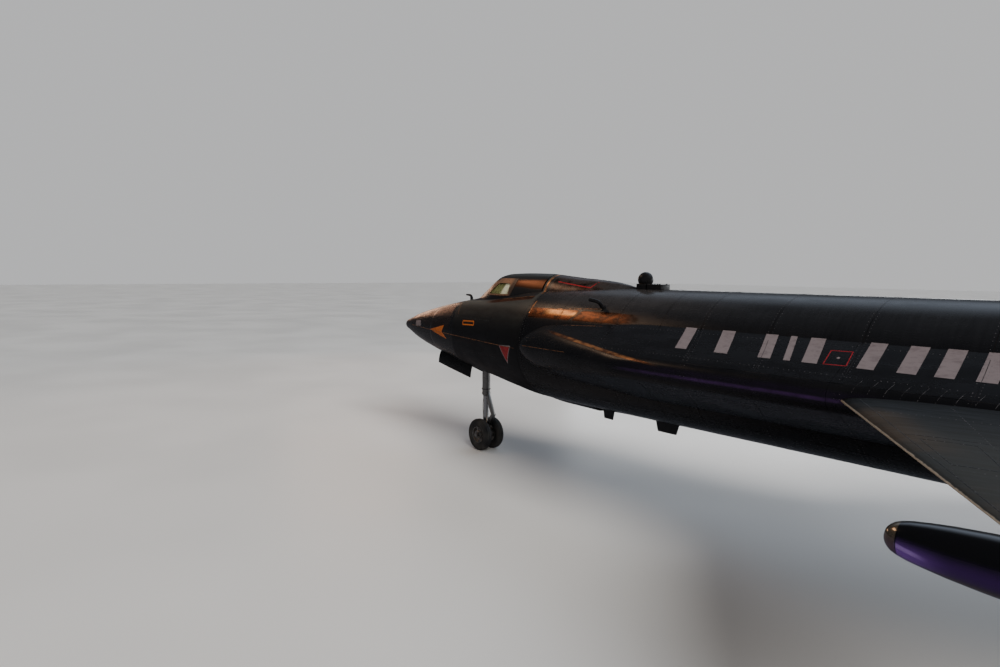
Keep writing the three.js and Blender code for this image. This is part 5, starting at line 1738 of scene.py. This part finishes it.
for hand in ENDS.values():
    flank = (0, -hand, 0)
    for side, start, end, height, screwed in TUNNEL_SEAMS:
        path = line_track(hull, *over(hand, [(start, side), (end, side)], height), DOWN, 0.08)
        if screwed:
            rows.append(screws(path, WIDE_PITCH))
        else:
            seams.append(ribbon(path))
    for i in range(TUNNEL_RIBS["count"]):
        start = TUNNEL_RIBS["front"] + TUNNEL_RIBS["pitch"] * i
        ends = [(start, TUNNEL_RIBS["inner"]), (start - TUNNEL_RIBS["slant"], TUNNEL_RIBS["outer"])]
        ribs.append(ribbon(line_track(hull, *over(hand, ends, 0.6), DOWN, 0.02), 0.003))
    for height, start, end in FLANK_SEAMS:
        low = beside(hand, [(start, height), (end, height)])
        high = beside(hand, [(start, height + SEAM["to_screws"]), (end, height + SEAM["to_screws"])])
        rows.append(screws(line_track(hull, *low, flank, 0.06), FLANK_PITCH))
        seams.append(ribbon(line_track(hull, *high, flank, 0.06), 0.004))
    for start, end, start_height, end_height, width in COPPER_EDGES:
        ends = beside(hand, [(start, start_height), (end, end_height)])
        edges.append(ribbon(line_track(hull, *ends, flank, 0.05), width, 0.002))
    corners = over(hand, NOSE_PANEL, 0.9)
    for pair in zip(corners, corners[1:]):
        edges.append(ribbon(line_track(hull, *pair, DOWN), 0.008))
    edges.append(ribbon(ring_track(hull, 3.745, 90 - 40 * hand, 90 - 56 * hand, 0, 1), 0.026))
edges.append(ribbon(ring_track(hull, 3.69, 62, 118, 0, 1), 0.045))

# Copper on joints and flank lines: partly the joints' copper, partly painted highlights.
copper_seam_and_highlight = mottled(
    "copper_seam_and_highlight", (13, 4), (0.46, 0.2, 0.08), (0.1, 0.045, 0.022), (0.25, 0.4), (0.4, 0.62), metallic=0.6)
fit("hull_seams", together(*seams), seam_metal)
fit("copper_seams_and_highlights", together(*edges), copper_seam_and_highlight)
fit("hull_screws", together(*rows, *ribs), screw_metal)


def dress(name, body, probes, lines, place):
    """Joints and screw rows on both faces of a piece. A line is two ends and whether it is a joint too."""
    surface = surface_of(name)
    seams, rows = [], []
    for inwards in probes:
        for *ends, is_joint in lines:
            near, far = [place(*ends[i:i + 2]) - Vector(inwards) for i in (0, 2)]
            path = line_track(surface, near, far, inwards, 0.06)
            rows.append(screws(path, WIDE_PITCH, 0.0045))
            if is_joint:
                seams.append(ribbon(path, 0.004))
    stem = name.replace("_skin", "")
    fit(f"{stem}_seams", together(*seams), seam_metal, body)
    fit(f"{stem}_screws", together(*rows), screw_metal, body)


# Side and share of the chord at each end of a line, then whether it is a joint.
WING_LINES = [
    (1.16, 0.035, 3.38, 0.035, True), (1.16, 0.2, 3.38, 0.2, False), (1.16, 0.42, 3.38, 0.42, True),
    (1.16, 0.62, 3.38, 0.62, False), (1.5, 0.035, 1.5, 0.74, False), (1.98, 0.035, 1.98, 0.7, True),
    (2.52, 0.035, 2.52, 0.66, False), (3.05, 0.035, 3.05, 0.95, True), (2.05, 0.06, 2.45, 0.06, True),
    (2.45, 0.06, 2.45, 0.17, True), (2.45, 0.17, 2.05, 0.17, True), (2.05, 0.17, 2.05, 0.06, True),
]
# The same on a flap, with its share of the way from the hinge to the trailing edge.
FLAP_LINES = [
    (1.15, 0.12, 2.46, 0.12, False), (1.15, 0.9, 2.46, 0.9, False), (1.16, 0.12, 1.16, 0.95, False),
    (1.8, 0.12, 1.8, 0.95, True), (2.45, 0.12, 2.45, 0.95, False),
]
TAIL_LINES = [
    (1.16, 0.04, 2.73, 0.06, True), (1.16, 0.3, 2.73, 0.32, False), (1.16, 0.62, 2.73, 0.62, True),
    (1.16, 0.95, 2.73, 0.93, False), (1.65, 0.05, 1.65, 0.95, False), (2.2, 0.05, 2.2, 0.95, True),
]
# Station and height. The lower fin takes the stub's lines upside down.
RUDDER_LINES = [
    (12.25, 1.21, 12.75, 2.08, True), (12.5, 1.22, 14.97, 1.22, False), (12.75, 1.65, 14.97, 1.65, True),
    (12.96, 2.07, 14.97, 2.07, False), (13.6, 1.2, 13.6, 2.09, False), (14.3, 1.2, 14.3, 2.09, True),
    (14.96, 1.2, 14.96, 2.09, False),
]
STUB_LINES = [
    (12.02, 0.75, 12.24, 1.15, True), (12.1, 0.76, 13.93, 0.76, False), (12.32, 1.14, 13.93, 1.14, False),
    (12.9, 0.74, 12.9, 1.16, True), (13.93, 0.74, 13.93, 1.16, False),
]
BRAKE_LINES = [
    (14.0, 0.76, 14.98, 0.76, False), (14.0, 1.14, 14.98, 1.14, False), (14.0, 0.74, 14.0, 1.15, False),
    (14.97, 0.74, 14.97, 1.15, False), (14.48, 0.74, 14.48, 1.15, True),
]
up_and_down = (DOWN, UP)
both_sides = ((0, 1, 0), (0, -1, 0))
for name, hand in ENDS.items():
    dress(f"wing_skin_{name}", "airframe", up_and_down, WING_LINES, lambda side, share: at(
        wing_nose(side) + share * (wing_tail(side) - wing_nose(side)), hand * side))
    dress(f"flap_skin_{name}", f"flap_{name}", up_and_down, FLAP_LINES, lambda side, share: at(
        FLAP["hinge"] + share * (wing_tail(side) - FLAP["hinge"]), hand * side))
    dress(f"tailplane_skin_{name}", f"tailplane_{name}", up_and_down, TAIL_LINES, lambda side, share: at(
        tail_nose(side) + share * (tail_end(side) - tail_nose(side)), hand * side))
dress("rudder_skin", "rudder", both_sides, RUDDER_LINES, lambda station, height: at(station, 0, height))
canopy_rows = []
lid = surface_of("canopy_skin", "window_frame_left", "window_frame_right")
for hand in ENDS.values():
    flank = (0, -hand, 0)
    line = beside(hand, outset(FRAME_INSIDE, FRAME["screw_line"]), 1)
    for pair in zip(line, line[1:] + line[:1]):
        canopy_rows.append(screws(line_track(lid, *pair, flank, 0.02), 0.036, 0.0035))
    for ends in ([(2.3, 0.56), (3.56, 0.56)], [(3.58, 0.55), (3.58, 0.84)]):
        path = line_track(lid, *beside(hand, ends, 1), flank, 0.03)
        canopy_rows.append(screws(path, WIDE_PITCH, 0.0045))
fit("canopy_screws", together(*canopy_rows), screw_metal, "canopy")
for level, sign in (("upper", 1), ("lower", -1)):
    dress(f"fin_stub_skin_{level}", "airframe", both_sides, STUB_LINES,
          lambda station, height: at(station, 0, sign * height))
    for name, hand in ENDS.items():
        dress(f"speed_brake_skin_{level}_{name}", f"speed_brake_{level}_{name}", ((0, -hand, 0),),
              BRAKE_LINES, lambda station, height: at(station, 0, sign * height))


# Markings. Plain painted stripes and shapes with nothing written on them: an orange arrow and outline on the
# nose, a red triangle and line behind it, red lines round a hatch, and a row of slanted pale bars aft.
PAINT = {"proud": 0.0006, "sink": 0.0004}


def paint_finish(name, colour, worn):
    return mottled(
        name, (26, 5, (0.5, 1, 1), 0.7), colour, worn, (0.4, 0.6), (0.45, 0.75), specular_ior_level=0.3)


orange_paint = paint_finish("orange_paint", (0.43, 0.105, 0.012), (0.27, 0.066, 0.012))
red_paint = paint_finish("red_paint", (0.26, 0.009, 0.014), (0.14, 0.008, 0.01))
bar_paint = paint_finish("bar_paint", (0.18, 0.147, 0.15), (0.115, 0.093, 0.097))


def patch(surface, outline, inwards, proud=PAINT["proud"], step=0.03):
    """A thin coat of paint inside an outline of points, cut into small faces and laid on a surface."""
    bm = bmesh.new()
    bm.faces.new([bm.verts.new(point) for point in outline])
    for axis in range(3):
        values = [point[axis] for point in outline]
        facing = Vector([float(k == axis) for k in range(3)])
        if abs(Vector(inwards).normalized().dot(facing)) < 0.95:
            for cut in spaced(min(values), max(values), step)[1:-1]:
                bmesh.ops.bisect_plane(
                    bm, geom=bm.verts[:] + bm.edges[:] + bm.faces[:], dist=1e-5, plane_co=facing * cut,
                    plane_no=facing)
    for vert in bm.verts:
        touch = feel(surface, vert.co, Vector(inwards).normalized())
        if touch:
            vert.co = touch[0] + touch[1] * proud
    bmesh.ops.recalc_face_normals(bm, faces=bm.faces)
    grown = bmesh.ops.extrude_face_region(bm, geom=bm.faces[:])
    moved = [part for part in grown["geom"] if isinstance(part, bmesh.types.BMVert)]
    bmesh.ops.translate(bm, verts=moved, vec=Vector(inwards).normalized() * (proud + PAINT["sink"]))
    return bm


def painted_line(surface, corners, inwards, width, closed=True):
    """A painted line through corners, as one strip for each side."""
    pairs = zip(corners, corners[1:] + corners[:1]) if closed else zip(corners, corners[1:])
    return [ribbon(line_track(surface, *pair, inwards), width, PAINT["proud"]) for pair in pairs]


# Seen from the side: station, height.
ARROW = [(1.24, 0.01), (1.81, -0.087), (1.66, 0.012), (1.72, 0.107)]
BOX = [(2.28, 0.158), (2.58, 0.168), (2.56, 0.215), (2.26, 0.205)]
TRIANGLE = [(3.29, -0.04), (3.415, -0.23), (3.51, -0.03)]
SPINE_LINE = [(3.83, 0.771), (4.364, 0.707), (4.42, 0.775)]
NOSE_PATCH = [(0.63, 0.02), (0.85, 0.03), (0.8, 0.115), (0.6, 0.1)]
# Station, side, height.
HATCH = [(7.455, 0.879, 0.216), (7.44, 0.722, 0.306), (7.6, 0.716, 0.309), (7.624, 0.874, 0.219)]
BARS = {"inner": 0.6, "outer": 0.885}
# Station at the inner end, width, and how far aft the outer end lies.
BAR_PLACES = [
    (6.02, 0.12, 0.085), (6.41, 0.13, 0.1), (6.83, 0.11, 0.09), (7.05, 0.055, 0.09), (7.22, 0.12, 0.07),
    (7.68, 0.12, 0.02), (7.955, 0.125, 0.015), (8.19, 0.12, 0.015), (8.43, 0.12, 0.015), (8.67, 0.11, 0.01),
]
oranges, reds, pales = [], [], []
for hand in ENDS.values():
    flank = (0, -hand, 0)
    flat = Vector((0, -hand * math.sin(TUNNEL_SLOPE), -math.cos(TUNNEL_SLOPE)))
    oranges.append(patch(hull, beside(hand, ARROW), flank))
    oranges += painted_line(hull, beside(hand, BOX), flank, 0.022)
    pales.append(patch(hull, beside(hand, outset(TRIANGLE, 0.012)), flank, 0.0004))
    reds.append(patch(hull, beside(hand, TRIANGLE), flank, 0.0009))
    reds += painted_line(hull, beside(hand, SPINE_LINE), flank, 0.02, False)
    corners = [sided(hand, *corner) - flat * 0.5 for corner in HATCH]
    reds += painted_line(hull, corners, flat, 0.01)
    spot, normal = feel(hull, sum(corners, Vector()) / 4, flat)
    dot = bmesh.new()
    bmesh.ops.create_cone(
        dot, cap_ends=True, segments=16, radius1=0.013, radius2=0.011, depth=0.003,
        matrix=Matrix.Translation(spot) @ normal.to_track_quat("Z", "Y").to_matrix().to_4x4())
    pales.append(dot)
    for start, width, slant in BAR_PLACES:
        bar = [
            (start, BARS["inner"]), (start + width, BARS["inner"]),
            (start + width + slant, BARS["outer"]), (start + slant, BARS["outer"])]
        pales.append(patch(hull, over(hand, bar, 1.0), DOWN, step=0.08))
    pales.append(patch(hull, beside(hand, NOSE_PATCH), flank, 0.0012, 0.015))
fit("orange_markings", together(*oranges), orange_paint)
fit("red_markings", together(*reds), red_paint)
fit("pale_markings", together(*pales), bar_paint)
